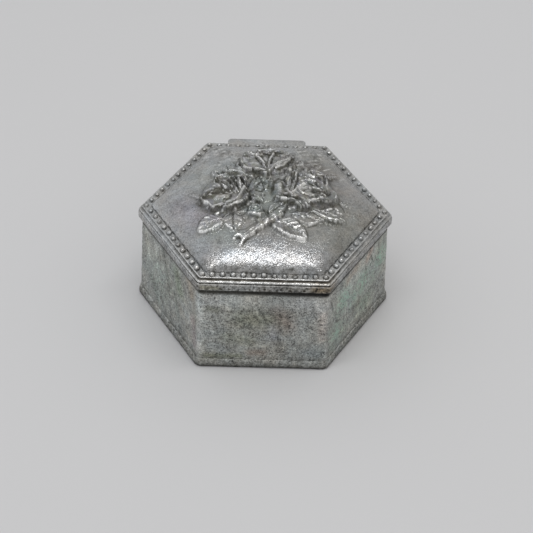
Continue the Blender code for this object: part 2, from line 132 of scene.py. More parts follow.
# Narrow folded petals and petal edges seen edge on: height, half width, then x and y of their points
left_rose_folds = (
    (2.15, 0.8, -5.4, -0.4, -5.6, -1.6, -5.9, -3.2, -6.6, -4.9, -7.9, -6, -9.3, -6.5),
    (1.45, 0.95, -13.2, -4.5, -11.2, -4.2, -9.4, -3.8, -8, -3.9),
    (2.05, 0.75, -12.3, 0.2, -11.2, -0.7, -9.9, -1.6, -8.6, -2.8),
    (2.15, 0.58, -11.3, 1.6, -10.2, 0.4, -8.9, -1, -7.8, -2.8),
    (2.28, 0.44, -10, 2.2, -9, 0.6, -7.9, -1.2, -7, -2.9),
    (2.34, 0.52, -8.8, 2.8, -8, 0.9, -7.2, -0.9, -6.4, -2.6),
    (2.32, 0.34, -7.7, 3.3, -7, 1.4, -6.4, -0.2, -5.8, -1.8),
    (2.24, 0.46, -6.7, 3.6, -6.1, 1.8, -5.6, 0.4, -5.2, -0.6), (2.2, 0.36, -5.6, 3.4, -5.1, 1.8, -4.8, 0.6),
)
right_rose_folds = (
    (2.35, 0.6, 8.8, 1.9, 8.2, 0.5, 7.1, -0.9, 5.9, -2.7), (2.15, 0.36, 8.6, -1.1, 9.9, -0.2, 11.3, -0.2),
    (2.1, 1.5, 3.5, -2.4, 3.3, -0.6, 3.3, 0.8, 3.7, 1.8), (2.15, 0.34, 8.6, 4.4, 9.8, 3.9, 11, 3.5),
    (2.15, 0.34, 9, 2, 10.2, 1.6, 11.4, 1.2), (2.1, 0.4, 10.4, -2.2, 11.8, -2.4, 13.2, -2.7),
    (2.1, 0.32, 5.6, 3.6, 5.6, 1.4, 5.4, -0.6),
)
back_rose_folds = (
    (2.15, 0.34, -3.2, 12.6, -2.5, 11.6, -1.5, 9.9, -0.6, 8.2, 0.2, 6.4),
    (2.1, 0.32, 2.2, 13.8, 1.6, 12.2, 1, 10.4, 0.6, 8.6, 0.3, 6.2),
    (1.9, 0.3, 4.6, 11.6, 3.2, 10.6, 2.2, 9.2, 1.2, 7.4), (1.6, 0.4, -4.7, 11.2, -3.3, 9.4, -1.6, 7.6),
)

# Bodies that fill the roses: centre, half sizes, height
bodies = (
    (-9.3, -1, 5.6, 5.8, 1.75), (9.8, 0.3, 6.3, 6.5, 1.8), (-0.2, 10.4, 6, 4.8, 1.65),
    (3.2, 0.2, 1.6, 2.9, 0.7), (-1, 0.5, 3.8, 5, 0.45),
)

# Leaves: base, tip, half width, sideways bend, height, tilt across, pairs of side veins
leaves = (
    (-9.6, -10, -15.6, -12.3, 2.6, -0.2, 0.5, 0.1, 5), (-7.6, -7.8, -7.2, -13.6, 2.5, 0, 0.32, -0.05, 2),
    (1.5, -11, 9.6, -15.4, 2.75, 0.95, 0.5, -0.12, 6), (6, -7.9, 13.4, -9.6, 2, -0.1, 0.36, -0.15, 2),
    (10.3, -6.1, 18.6, -7.9, 2.4, 0.35, 0.52, -0.2, 4), (-4.6, -1.4, -2.8, 4.6, 1.35, 0.2, 0.75, 0.1, 3),
    (-0.4, -0.4, -1.8, 5.2, 1.35, -0.15, 0.7, -0.1, 3), (-0.6, -4.4, -3.8, -1.6, 1.15, 0.15, 0.75, 0.25, 3),
    (0.8, -1.2, 1, 4.8, 1.25, 0.1, 0.35, 0.1, 3), (0.9, -8.6, 4.8, -4.8, 1.6, 0.1, 0.75, 0, 2),
    (-10.2, 5, -12.6, 8.6, 1.25, 0.15, 0.5, 0.2, 3), (-9, 6.4, -9.6, 10.6, 1.15, -0.2, 0.3, 0.1, 3),
    (-5.8, 6.4, -8.2, 12.2, 1.35, -0.25, 0.2, 0.1, 3), (6, 7.8, 8.4, 13.6, 1.6, 0.3, 0.3, -0.15, 4),
    (9.4, 8.4, 13.2, 13.4, 1.55, 0.25, 0.25, -0.15, 4), (12.9, 7.4, 17.2, 9.4, 1.45, 0.2, 0.25, -0.15, 4),
)

# Stems and twigs: half width at the start and the end, height, then x and y of their points
stems = (
    (0.72, 0.88, 0.15, -4.5, -15.6, -3.2, -14.2, -1.9, -13, -0.5, -11.8, 1, -10.4, 2.4, -9.2, 3.6, -8.2),
    (0.5, 0.65, 0.05, -7.1, -16.2, -6.5, -15.3, -5.5, -15.1, -4.4, -15.2),
    (0.36, 0.65, 0.05, -5.6, -18.1, -5.2, -16.9, -4.6, -15.8, -3.8, -14.9),
    (0.6, 0.45, 0.2, -0.7, -11.6, -1.6, -10.3, -2.3, -9.2),
    (0.3, 0.5, -0.05, -19.3, 0.8, -17.2, -0.6, -15.1, -2), (0.25, 0.45, -0.05, -18, 1, -17, -0.2, -15.8, -1),
    (0.5, 0.28, -0.02, 15.7, -1.2, 17.7, -2.2, 19.8, -2.6),
    (0.28, 0.2, -0.05, 17.4, -2.1, 18.6, -1.4, 19.4, -0.9),
)

# Knots on the stems: centre, radius, height
knots = (
    (-1, -12.3, 0.6, 1), (0.5, -10.8, 0.8, 1.25), (1.7, -10.6, 0.55, 1.1), (3.3, -8.9, 0.55, 1.15),
    (-3.9, -0.9, 0.45, 1.35), (-2.4, 1.6, 0.45, 1.3), (-0.7, -2.2, 0.45, 1.2), (0.2, 2.9, 0.4, 1.25),
    (-11.9, 6.8, 0.4, 1.2), (-10.4, 7, 0.35, 1.05), (4.9, 7, 0.5, 2.1),
)

# Lines that the photograph shows on the spray: strength, half width in mm, then x and y of each point in its
# pixels. Slits are grooves between petals and under edges, with painted shade along them; glints are
# edges painted bright, as painted highlights and as wear from handling.
# painted shadows under the roses' lower rims
shade_under_roses = (
    (0.1, 0.8, 199, 201, 205, 206, 213, 209.5, 222, 209.5, 230, 208, 240, 205, 247, 201, 250.5, 194),
    (0.12, 0.8, 287, 202, 293, 205, 301, 208, 308, 206), (0.05, 0.6, 311, 203.8, 320, 203, 329, 203.2),
    (0.05, 0.45, 243, 170.5, 252, 172.3, 263, 172.8), (0.15, 0.7, 224, 172.8, 230, 172.6, 236, 172.6),
)
left_rose_slits = (
    (0.4, 0.7, 203.5, 196, 207, 194.2, 211, 192.6, 216, 191.2, 224.3, 190.9, 230, 192),
    (0.15, 0.6, 202.4, 197.6, 207, 198, 211.6, 197), (0.3, 0.26, 224, 199, 229.3, 197.9, 231.2, 195),
    (0.35, 0.2, 216, 180.2, 221, 184.3, 225.2, 189.3), (0.3, 0.2, 221.4, 181.2, 224.8, 185.4, 227.3, 189.3),
    (0.5, 0.28, 228.5, 178.6, 231, 182.7, 232.3, 188.5), (0.3, 0.18, 232.5, 176.5, 234.2, 181, 235, 186.5),
    (0.3, 0.2, 235.2, 176.8, 236.2, 181, 236.8, 187), (0.45, 0.22, 240, 177.2, 241.3, 181, 242, 185.6),
    (0.4, 0.18, 244.5, 189.5, 241.2, 195.2, 235.6, 199.6, 229.3, 202.8),
    (0.4, 0.24, 245.6, 187, 248.8, 190.8, 250, 194.5, 249.5, 199),
    (0.15, 0.18, 214, 177, 218, 180.5, 221, 184), (0.25, 0.18, 225, 199.8, 224.4, 202.5),
)
right_rose_slits = (
    (0.35, 0.26, 272.9, 190, 273, 186, 274.5, 182, 277.5, 179.6, 281, 179.3, 285, 181, 286.8, 184.5),
    (0.25, 0.22, 281.8, 182.2, 283.3, 185, 282.6, 188.4),
    (0.5, 0.26, 285.5, 194.6, 290, 195.4, 295, 196.4, 299.5, 198, 303.3, 200.2, 306, 203.4),
    (0.35, 0.2, 298, 174, 297.6, 179, 296.3, 183, 294.2, 188),
    (0.3, 0.18, 294.8, 171.5, 293.6, 177, 291.6, 183), (0.4, 0.22, 306, 177.2, 311.7, 178.6, 316.7, 182.4),
    (0.3, 0.2, 316, 176.8, 319, 178, 321.8, 180), (0.4, 0.24, 308.6, 181.8, 311, 183.5, 314, 185.6),
    (0.35, 0.22, 315, 183.6, 319, 185.6, 322.5, 188.6), (0.3, 0.2, 323.4, 175.2, 324.6, 179, 325, 184),
    (0.5, 0.7, 313.5, 190.8, 319, 190.6, 324, 191.8, 328.4, 194),
    (0.3, 0.2, 304, 190, 309, 189.2, 314, 189.8), (0.25, 0.16, 304, 171.5, 312, 173.3, 317, 175.8),
    (0.2, 0.16, 292.3, 166, 292.2, 171, 291.5, 177), (0.2, 0.15, 297, 165.5, 295.5, 170),
    (0.2, 0.18, 299.5, 192.6, 304, 193.8, 308, 196), (0.15, 0.16, 290, 192.9, 294, 194.2),
    (0.2, 0.22, 305.2, 197.4, 307.6, 199.6, 308.4, 203), (0.2, 0.18, 310, 197, 316, 195.9, 324, 195.2),
)
back_rose_slits = (
    (0.3, 0.2, 261, 155.6, 264.6, 160, 266.6, 166.6), (0.22, 0.15, 253, 154.8, 257, 158.6, 261.5, 164),
    (0.35, 0.2, 258.8, 148.2, 265, 147.6, 272, 148), (0.2, 0.22, 259.6, 152, 262.4, 151.8),
    (0.25, 0.24, 268, 151.6, 271, 151.2), (0.25, 0.16, 269.6, 155, 268, 159.6, 267, 165),
    (0.35, 0.2, 275.6, 153.2, 272.4, 158.4, 270.4, 163.6),
    (0.25, 0.15, 273.4, 167.8, 278, 164.2, 284, 161.2, 289.5, 158.4),
    (0.22, 0.55, 278.7, 168.8, 283.7, 165.6, 290.3, 162), (0.15, 0.3, 286, 169, 290, 165.4, 293.4, 160),
    (0.1, 0.45, 239.4, 158.6, 240.2, 163, 243.2, 167.4),
    (0.25, 0.36, 245, 169.8, 252, 170.8, 259, 171, 265.6, 171.6),
    (0.15, 0.16, 247.6, 151.2, 252, 151.6, 255.6, 153), (0.15, 0.2, 291.5, 154, 294.5, 157.5, 294.5, 161),
)
leaf_and_bud_slits = (
    (0.15, 0.18, 199.5, 232.6, 205.8, 232.4, 211.3, 230.6, 218.5, 225.8),
    (0.05, 0.18, 197.6, 226.6, 198.4, 230), (0.06, 0.18, 198.4, 224, 202.2, 218.5, 207.6, 214.8),
    (0.18, 0.18, 222.8, 220.3, 225.4, 224.8, 229.2, 228), (0.15, 0.18, 242.6, 216.6, 243.5, 221.2),
    (0.08, 0.18, 237.6, 230.3, 245, 229.2, 250.4, 225.7, 257.6, 222),
    (0.2, 0.22, 243.5, 244, 247.6, 239, 255, 234, 261.3, 228.5, 266, 224.6),
    (0.25, 0.3, 236.7, 236.4, 239.5, 237, 242, 237.4),
    (0.22, 0.24, 245, 212.4, 248.5, 214.2, 254.5, 215, 261.3, 215.6), (0.12, 0.5, 248.5, 216.4, 257.6, 217),
    (0.15, 0.17, 270, 224.9, 273.6, 227, 276.7, 229.2, 281.7, 232.6, 287.5, 236, 296.7, 239.2),
    (0.2, 0.18, 293.3, 216.8, 298.3, 220.5, 303.3, 226.3, 306.3, 231.3, 307.5, 236.3),
    (0.1, 0.5, 284, 227, 288, 230, 292.6, 233), (0.1, 0.16, 281, 222.8, 285, 224.6, 292, 230, 298.6, 234.6),
    (0.12, 0.16, 288, 220.8, 292, 224.6), (0.12, 0.16, 294.6, 224.2, 297.6, 228.6),
    (0.15, 0.2, 308.3, 227, 315, 225.2, 319.2, 222.6, 323.3, 221.2),
    (0.2, 0.22, 311.7, 211.6, 319.2, 215.9, 326.7, 219.7, 335.8, 222.6, 341.7, 223.4),
    (0.08, 0.16, 338.3, 204.7, 342.4, 208.6, 344.4, 213), (0.1, 0.3, 281.8, 211, 284.6, 211.4),
    (0.1, 0.18, 301, 213.4, 303.4, 217), (0.1, 0.18, 305.4, 212.6, 306.4, 216),
)
middle_slits = (
    (0.25, 0.28, 258, 184, 262, 182.5, 266, 184), (0.22, 0.26, 256, 190, 261, 191, 264, 189),
    (0.2, 0.2, 247.4, 206, 250, 202.6, 254.5, 201.4, 259.4, 203.2),
    (0.2, 0.18, 251, 208.6, 252.6, 205.6, 256, 204.8),
)
rose_rim_slits = (
    (0.12, 0.18, 199.5, 202, 204, 203.4, 208.4, 204.6, 212, 207.2, 217.5, 207, 222.6, 205.4),
    (0.12, 0.18, 229.4, 206.2, 233.6, 205.2, 238.6, 203.6, 242.5, 201.4),
    (0.12, 0.18, 280, 198.9, 287, 199.6), (0.12, 0.18, 308, 202, 316, 200.4, 324, 199.8),
)
left_rose_glints = (
    (0.6, 0.18, 226, 170.4, 233, 169.9, 240.2, 170.3), (0.9, 0.2, 215.6, 171.3, 217.2, 171.6),
    (1, 0.2, 218.6, 175.9, 220.6, 175.1, 222.7, 174.2), (0.8, 0.18, 223.4, 183.8, 226, 187.4),
    (1, 0.18, 230.6, 183.8, 232.3, 186.4), (0.8, 0.18, 237.5, 178.4, 239.4, 181.8, 240.8, 184.8),
    (0.8, 0.18, 239.4, 185.4, 241.4, 186), (0.9, 0.18, 218.6, 185.2, 220, 185.6),
    (0.6, 0.18, 237.8, 175.1, 239.2, 175.5), (0.7, 0.18, 209.8, 193.2, 211.2, 193.8),
    (0.6, 0.18, 220.4, 192.3, 221.8, 192.7), (0.5, 0.18, 226, 191, 231.8, 192),
    (0.95, 0.2, 204.2, 200.6, 208.4, 201.8), (0.9, 0.18, 213.6, 205.2, 217.5, 204.4, 222.6, 202.8),
    (0.8, 0.18, 229.4, 203.9, 232.4, 203.4), (1, 0.2, 233.6, 202.6, 238.6, 201.3),
    (0.8, 0.18, 240, 200.4, 241.8, 199.4), (0.5, 0.18, 221.7, 210.2, 222.8, 210.8),
    (0.5, 0.18, 234.9, 208.3, 236.1, 208.7), (0.4, 0.18, 207, 206.8, 208, 207.2),
    (0.38, 0.34, 245.2, 185.8, 242.7, 188.6, 241.2, 192, 237.7, 196.6, 231.8, 200, 225.4, 202.5),
    (0.25, 0.4, 214.5, 198.6, 219, 196.6, 224, 195.6, 228.5, 194.6), (0.5, 0.18, 222.5, 196, 224.6, 195.6),
    (0.4, 0.18, 217, 196.2, 218.4, 196), (0.25, 0.5, 216.5, 183, 219.5, 186),
    (0.3, 0.18, 224.8, 199.4, 225.2, 201.6), (0.5, 0.18, 246.2, 178.6, 246.8, 179.2),
    (0.5, 0.18, 212.4, 188.4, 213.2, 188.8), (0.3, 0.3, 206, 190.6, 211, 188.6),
    (0.3, 0.2, 234, 190.4, 238, 189.2),
)
right_rose_glints = (
    (0.8, 0.18, 296.2, 173, 295.8, 176.4, 295.4, 179.8),
    (0.9, 0.18, 294.2, 180.6, 293.2, 184.6, 291.4, 189.6), (0.9, 0.2, 296.3, 186.9, 297.5, 185.6),
    (0.9, 0.2, 291.2, 192.4, 293, 191, 295.4, 189.4), (1, 0.36, 300.2, 185, 302, 184, 304.6, 183.4),
    (1, 0.2, 301.8, 180.2, 303, 181), (0.6, 0.3, 299, 188.6, 301.6, 186.8),
    (1, 0.2, 281.3, 196.8, 284, 197, 286.7, 197.4), (0.8, 0.18, 288, 196.9, 293, 198.2, 297.5, 199.8),
    (0.9, 0.18, 298.6, 200.8, 300.2, 201.8), (1, 0.2, 309.2, 199.8, 312.6, 198.8, 316, 198.2),
    (0.9, 0.18, 317.6, 198, 320.6, 197.6, 323.4, 197.6), (0.5, 0.18, 303.3, 188.2, 306.6, 186.9, 310, 187.2),
    (0.9, 0.2, 309.4, 187.3, 310.8, 187.3), (0.8, 0.2, 313.2, 187.1, 314.4, 187.3),
    (0.45, 0.18, 314.6, 187.4, 318, 188, 321, 189.2), (0.8, 0.18, 312.6, 176.4, 314.4, 177.6),
    (1, 0.2, 312.8, 180.3, 315, 180.4), (1, 0.2, 317.8, 174.2, 319.6, 174.8, 321.8, 174.6),
    (0.6, 0.18, 324, 171, 327, 170, 329.6, 169.3), (0.95, 0.2, 289.4, 169.2, 291.2, 169.6),
    (0.3, 0.3, 302, 197.4, 306, 199, 308.4, 201), (0.45, 0.16, 289, 190.6, 292, 193.4),
    (0.45, 0.16, 296.4, 191.4, 299.4, 193.4), (0.5, 0.16, 300.4, 190.4, 303, 193),
    (0.4, 0.16, 293.6, 192.6, 297, 194.6), (0.45, 0.16, 304.4, 192.6, 307.6, 194),
    (0.3, 0.45, 288.8, 172, 285, 175.4, 281, 178.2), (0.5, 0.18, 290, 176.8, 288, 181.6, 287.6, 186),
    (0.35, 0.5, 279.4, 184, 280.2, 189.4), (0.35, 0.3, 306, 174.2, 311, 175.4),
    (0.4, 0.18, 326, 185, 327.6, 189.4), (0.4, 0.18, 293.4, 206.8, 294.6, 207.2),
    (0.35, 0.18, 303.2, 205, 304.2, 205.4), (0.25, 0.4, 309, 193.4, 314, 194),
    (0.6, 0.18, 299.2, 177.2, 300.4, 178.6), (0.4, 0.18, 286.6, 188, 289, 191),
)
back_rose_glints = (
    (0.6, 0.18, 243, 166.8, 247, 167.5), (0.8, 0.18, 247.8, 167.6, 251.4, 168),
    (1, 0.2, 255.2, 167.4, 258.4, 167.7), (1, 0.2, 260.4, 168.4, 264.6, 169.4),
    (1, 0.18, 255.8, 154.6, 260.2, 158.2, 264.6, 162.4), (0.7, 0.18, 248.6, 153.1, 250, 153.5),
    (0.7, 0.18, 252.4, 153.6, 254, 154), (0.7, 0.18, 262.2, 154.4, 263.4, 154.9),
    (0.7, 0.18, 259.6, 150.6, 263.6, 149.8, 267.4, 150), (0.4, 0.18, 268.4, 149.8, 272, 149.3),
    (0.7, 0.18, 273.8, 153.2, 270.6, 157.4, 268.9, 162.4, 268.2, 167),
    (0.65, 0.16, 272, 166.4, 277, 162.7, 283.6, 160.2, 289, 157.4), (0.95, 0.18, 275.6, 167.6, 279.4, 165.4),
    (0.6, 0.17, 279.6, 165.2, 284, 163, 290.2, 159.6), (0.5, 0.18, 288.6, 154, 293.6, 157),
    (0.5, 0.18, 238, 175.2, 239, 175.8), (0.6, 0.18, 251, 175.2, 252, 175.8),
    (0.3, 0.5, 251, 162.6, 258, 163.4), (0.3, 0.4, 243.6, 157.6, 246, 161.6),
    (0.35, 0.3, 264.4, 157.4, 266.4, 160), (0.4, 0.18, 236, 168, 241, 168.6),
    (0.5, 0.18, 264.8, 170.8, 266.4, 172),
)
leaf_and_stem_glints = (
    (1, 0.19, 199.5, 231.2, 205, 230.7, 211.3, 228.4, 216.7, 224.9, 218.6, 223.6),
    (1, 0.3, 199.4, 228.6, 202.6, 227), (0.9, 0.22, 200.8, 223.4, 202.2, 222.6),
    (0.8, 0.2, 203, 222.4, 205.8, 221.6), (1, 0.24, 205, 217.9, 209, 217.1),
    (0.7, 0.2, 215.4, 214.3, 218.5, 213.1), (0.4, 0.16, 203.5, 227.2, 208, 222),
    (0.4, 0.16, 207, 226.4, 211.4, 221.6), (0.9, 0.2, 221, 224.2, 221.8, 221.8),
    (1, 0.18, 225.4, 223.5, 229, 226.6, 233, 229.4), (1, 0.24, 238.8, 225.4, 240.6, 222.8),
    (1, 0.2, 241.3, 243.5, 243, 239.6, 245, 237, 250.4, 233.5, 254.5, 231.2),
    (0.8, 0.26, 256.7, 227.8, 259.5, 226.8), (0.9, 0.24, 261.7, 226.4, 263, 224.6),
    (1, 0.26, 266.3, 221, 268, 219.6), (0.9, 0.22, 265.2, 223, 266.4, 221.8),
    (1, 0.19, 236.3, 234, 239.5, 234.4, 242.6, 236.6), (1, 0.24, 233.2, 237.8, 234.4, 238.8),
    (0.7, 0.24, 238.8, 244.6, 241, 246), (0.5, 0.16, 258, 234.2, 259.2, 233.6),
    (1, 0.18, 248.5, 211.6, 254, 212.8, 260.4, 213.9), (1, 0.2, 273.8, 225, 275.4, 226.7),
    (1, 0.22, 277.9, 227.6, 279.8, 228.6, 281.7, 230.2), (1, 0.24, 282.9, 231.9, 286, 232.6, 288.8, 233.9),
    (1, 0.24, 290, 235, 293, 235.2, 295.8, 235.8), (1, 0.36, 297.4, 237, 301, 238.4, 304.6, 239.6),
    (0.9, 0.2, 283, 220.5, 287, 219.2, 290.4, 218.4), (1, 0.22, 287.5, 224.3, 292.5, 222.2, 297.5, 222.6),
    (1, 0.2, 294.2, 227.6, 297, 226.4, 300.4, 225.6), (0.9, 0.18, 300.4, 232.2, 301.7, 230.5, 304.6, 230.4),
    (0.9, 0.2, 303, 233.8, 304.8, 235, 306.2, 236.8), (0.6, 0.18, 279.6, 216.8, 284.6, 217.4),
    (0.6, 0.24, 274.2, 214, 275.6, 218), (0.5, 0.16, 278.4, 221.4, 282, 222.2),
    (0.9, 0.2, 308.8, 225, 312.5, 223, 315, 222.6), (0.9, 0.2, 315.4, 222.3, 317.5, 221.3),
    (0.8, 0.2, 302, 215.8, 304, 217.8), (0.8, 0.2, 307, 213.6, 308.2, 215.8),
    (0.6, 0.2, 294.6, 216.6, 295.6, 217), (0.5, 0.2, 298.4, 212.2, 300.4, 212),
    (0.5, 0.18, 310.6, 216, 314, 217.6),
    (1, 0.19, 313, 210.5, 318.3, 213, 323.3, 215.5, 329.2, 218, 334.2, 219.3, 339.2, 219.9),
    (1, 0.26, 327.4, 209.8, 331.4, 208.8), (0.9, 0.24, 336, 209.2, 338, 210.8),
    (1, 0.26, 337.8, 213.4, 341.4, 214), (0.4, 0.16, 322, 211.4, 326, 213.6),
    (0.4, 0.16, 331, 214, 334.6, 215.4), (0.8, 0.2, 279.4, 211.4, 281, 210.2),
    (0.6, 0.18, 289, 208.3, 290.2, 208.7), (0.35, 0.45, 268.6, 208.6, 271.4, 205),
    (0.5, 0.2, 247.6, 204, 250.6, 201.4, 254, 200.6), (0.4, 0.3, 253, 206.4, 256, 206.6),
)
slits = (
    shade_under_roses + left_rose_slits + right_rose_slits + back_rose_slits
    + leaf_and_bud_slits + middle_slits + rose_rim_slits
)
glints = left_rose_glints + right_rose_glints + back_rose_glints + leaf_and_stem_glints

# The bud: centre, radius, height
bud = (-2.35, -7.55, 1.95, 1.75)

# Verdigris on the walls: place in mm, radius, strength
verdigris_spots = (
    (27.7, -2.8, 15.8, 3.4, 0.9), (25.7, -6.3, 12.3, 2.2, 0.6), (23.2, -10.7, 14, 3.2, 0.9),
    (21, -14, 12.5, 2.8, 0.6), (18.7, -18.5, 14.8, 3.4, 0.9), (17.2, -21.1, 7.2, 3.6, 0.6),
    (24, -9, 7, 4, 0.3), (-24.5, -8.5, 12, 6, 0.25), (-18, 18.5, 8, 5, 0.5), (8, 25.5, 14, 5, 0.4),
)

# Stains, streaks and some painted light, as tints along lines: start and end of their line in mm, radius,
# then the shares of red, green and blue left
dome_stains_and_highlight_tint = (
    # the first row tints the strip under the front highlight bluer, as a painted highlight colour
    (-12, -20, 28, 12, -20, 28, 4, 1.01, 1.02, 1.06), (-14, -9, 29, -18, -4, 28, 4, 1.02, 0.98, 1.06),
    (-8, -15, 29, -12, -13, 29, 3, 0.93, 1, 0.97), (13, -13, 28, 19, -6, 28, 5, 0.88, 0.88, 0.84),
    (17, -15, 28, 20, -10, 28, 2.5, 0.9, 0.9, 0.88), (-9, 9, 30, -16, 8, 29, 4.5, 0.95, 0.99, 0.99),
    (12, 10, 29, 17, 4, 28, 5, 0.8, 0.77, 0.75), (-14, -2.8, 31, -9, -2.8, 31.6, 1.3, 0.84, 0.81, 0.7),
    (-1, 2, 32, 1, -5, 32, 4, 0.9, 0.95, 0.92), (-2.6, -7.4, 32, -2.2, -7.6, 32, 2, 0.74, 0.82, 0.8),
    (-16, -1, 29, -14, 4, 29, 2.5, 0.9, 0.92, 0.9), (9, 17, 28, 14, 13, 28, 3.5, 0.76, 0.76, 0.72),
)
rim_stains = (
    (12, -26, 24.6, 15.5, -25.5, 24.6, 1.5, 0.85, 0.72, 0.55),
    (-13, -25.2, 26.2, 14, -25.2, 26.2, 0.22, 0.92, 0.84, 0.74),
    (-14, -26, 24.6, -3, -26, 24.4, 1.3, 1.2, 1.2, 1.18),
    (5, -26, 24.4, 13, -26, 24.4, 1.3, 0.86, 0.83, 0.78),
    (-14, -26, 24.4, -10.5, -26, 24.2, 0.7, 0.8, 0.78, 0.66),
    (-28, -3, 25.5, -16, -23.5, 25.5, 2.5, 1.04, 1.05, 1.06),
)
wall_stains_and_highlights = (
    # the first and the sixth rows are painted highlights down the front wall's two corners
    (-14.4, -25.4, 5, -14.4, -25, 21, 1.1, 1.3, 1.34, 1.36),
    (-13.2, -25.3, 19.5, -11.5, -25.3, 21, 2.4, 1.22, 1.22, 1.25),
    (-12.6, -25.3, 17.5, -10.5, -25.3, 17, 0.9, 0.66, 0.67, 0.62),
    (-8.5, -25.2, 19.8, -3.5, -25.2, 20.5, 2, 1.22, 1.21, 1.2),
    (8.5, -25.2, 20, 13, -25.2, 19, 2.5, 1.2, 1.2, 1.24),
    (13.9, -25.4, 9, 13.9, -25.4, 16, 1.1, 1.34, 1.24, 1.22),
    (-4.5, -25.4, 14.5, 1, -25.4, 14.5, 3, 0.8, 0.82, 0.74),
    (3, -25.4, 17, 6, -25.4, 13, 2, 0.91, 0.82, 0.79),
    (2.4, -25.4, 12.5, 2.6, -25.4, 9.5, 1.3, 1.12, 1.12, 1.2),
    (-2.6, -25.5, 4.4, 0.2, -25.5, 4.4, 1.1, 0.92, 0.82, 0.78),
    (-8, -25.4, 9, -3, -25.4, 8, 1.8, 0.86, 0.88, 0.82),
    (-3.5, -25.5, 6.5, 8.5, -25.5, 6.1, 0.35, 1.22, 1.22, 1.2),
    (-13, -25.5, 3.2, -5, -25.5, 3.2, 0.8, 0.76, 0.78, 0.68),
    (10, -25.5, 5, 13, -25.5, 4, 1.5, 0.86, 0.88, 0.9),
    (-20.5, -15.6, 19.5, -19.5, -17.3, 15.5, 2, 0.95, 1.02, 0.88),
    (-17.4, -21.1, 21.5, -16.6, -22.5, 18.5, 1.6, 1.12, 0.99, 0.88),
    (-28.3, -2, 21, -27, -4.2, 14, 0.8, 1.24, 1.26, 1.24),
    (-25.5, -7, 18, -24.6, -8.5, 11, 0.6, 1.2, 1.22, 1.2),
    (-23.9, -9.7, 21.5, -21.9, -13.5, 12, 0.5, 0.68, 0.72, 0.7),
    (-20.9, -15, 13, -19.7, -17.2, 7, 0.7, 0.76, 0.8, 0.78),
    (-26.8, -5.2, 9, -24.8, -8.3, 4, 1, 0.84, 0.88, 0.86),
    (-16.2, -23.2, 12, -15.6, -24.2, 5, 1.2, 1.04, 0.94, 0.96),
    (25.3, -7.2, 21, 24.4, -8.8, 19.5, 1.2, 1.1, 0.92, 0.86),
    (21.5, -14, 20.8, 19.8, -16.8, 19.6, 1.5, 1.02, 0.9, 0.84),
    (25.2, -7.2, 19.2, 25.7, -6.5, 17.4, 0.28, 0.1, 0.1, 0.1),
    (25.7, -6.5, 17.4, 25.2, -7.3, 16.6, 0.28, 0.1, 0.1, 0.1),
    (18.2, -19.6, 6, 26, -6, 4.5, 0.7, 1.14, 1.16, 1.12),
    (22, -12.8, 8.5, 24.5, -8.5, 7, 1.8, 0.84, 0.86, 0.82),
    (26.5, -4.5, 18, 19, -17.5, 18.5, 3, 1.2, 1.21, 1.2),
)

# Rim of the lid, all round: inset from the lid's edge and height in mm, tarnish with painted shade in
# the grooves and under the band, wear
rim_outline = (
    (3, 26.7, 0.2, 0), (2.6, 26.7, 0.1, 0), (2.45, 26.7, 0.1, 0), (2.32, 26.7, 0, 0.1), (2.18, 26.7, 0, 0.1),
    (2.04, 26.7, 0, 0.1), (1.9, 26.7, 0, 0.1), (1.75, 26.7, 0, 0.1), (1.6, 26.7, 0, 0.1),
    (1.46, 26.7, 0, 0.1), (1.32, 26.7, 0, 0.1), (1.18, 26.7, 0, 0.1), (1.04, 26.72, 0, 0.7),
    (0.9, 26.72, 0, 1.3), (0.8, 26.64, 0, 1.3), (0.78, 26.5, 0.4, 0.2), (0.84, 26.36, 0.9, 0),
    (0.86, 26.24, 1, 0), (0.8, 26.12, 0.9, 0), (0.66, 26.04, 0.9, 0), (0.5, 25.99, 0.5, 0.1),
    (0.32, 25.93, 0, 0.9), (0.19, 25.83, 0, 1), (0.13, 25.7, 0, 0.8), (0.17, 25.58, 0.7, 0.1),
    (0.3, 25.51, 0.9, 0), (0.44, 25.48, 1, 0), (0.45, 25.36, 1, 0), (0.3, 25.31, 1, 0),
    (0.14, 25.28, 0.6, 0.3), (0.05, 25.2, 0, 0.6), (0, 25.05, 0.2, 0.2), (0, 24.83, 0.3, 0),
    (0, 24.6, 0.3, 0), (0, 24.36, 0.3, 0), (0, 24.12, 0.3, 0), (0, 23.9, 0.3, 0), (0, 23.7, 0.3, 0.1),
    (0.04, 23.52, 0.6, 0), (0.12, 23.43, 1, 0), (0.25, 23.4, 1, 0), (1.5, 23.4, 1, 0), (2.6, 23.4, 0.8, 0),
    (2.7, 23.35, 0.6, 0), (2.7, 22.1, 0.3, 0.1), (2.78, 22.02, 0.1, 0.4), (3.2, 22, 0.2, 0.3),
    (3.62, 22.02, 0.1, 0.4), (3.7, 22.1, 0.2, 0.1), (3.7, 24, 0.3, 0), (3.7, 26, 0.3, 0),
    (3.7, 26.42, 0.3, 0), (3.4, 26.5, 0.3, 0),
)

# Outside of the foot: reach out from its edge, height and corner radius in mm, tarnish with painted
# shade next to the floor, wear
foot_outline = (
    (-0.75, 0, 1.6, 1, 0), (-0.4, 0.05, 1.7, 1, 0), (-0.16, 0.2, 1.8, 1, 0), (-0.04, 0.45, 1.8, 0.75, 0),
    (0, 0.75, 1.8, 0.45, 0), (-0.01, 1.05, 1.8, 0.32, 0), (-0.05, 1.35, 1.8, 0.26, 0),
    (-0.12, 1.65, 1.8, 0.24, 0), (-0.21, 1.95, 1.7, 0.2, 0), (-0.3, 2.2, 1.6, 0.1, 0.1),
    (-0.38, 2.35, 1.6, 0.1, 0.3), (-0.6, 2.4, 1.5, 0.35, 0),
)


def linear(code):
    """A colour written as an sRGB hex code, as the linear values that the shaders use."""
    shares = [int(code[place : place + 2], 16) / 255 for place in (0, 2, 4)]
    return tuple(share / 12.92 if share <= 0.04045 else ((share + 0.055) / 1.055) ** 2.4 for share in shares)


def colour_setting(name, description, code):
    return FloatVectorProperty(
        name=name, description=description, subtype="COLOR", size=3, min=0, max=1, default=linear(code)
    )


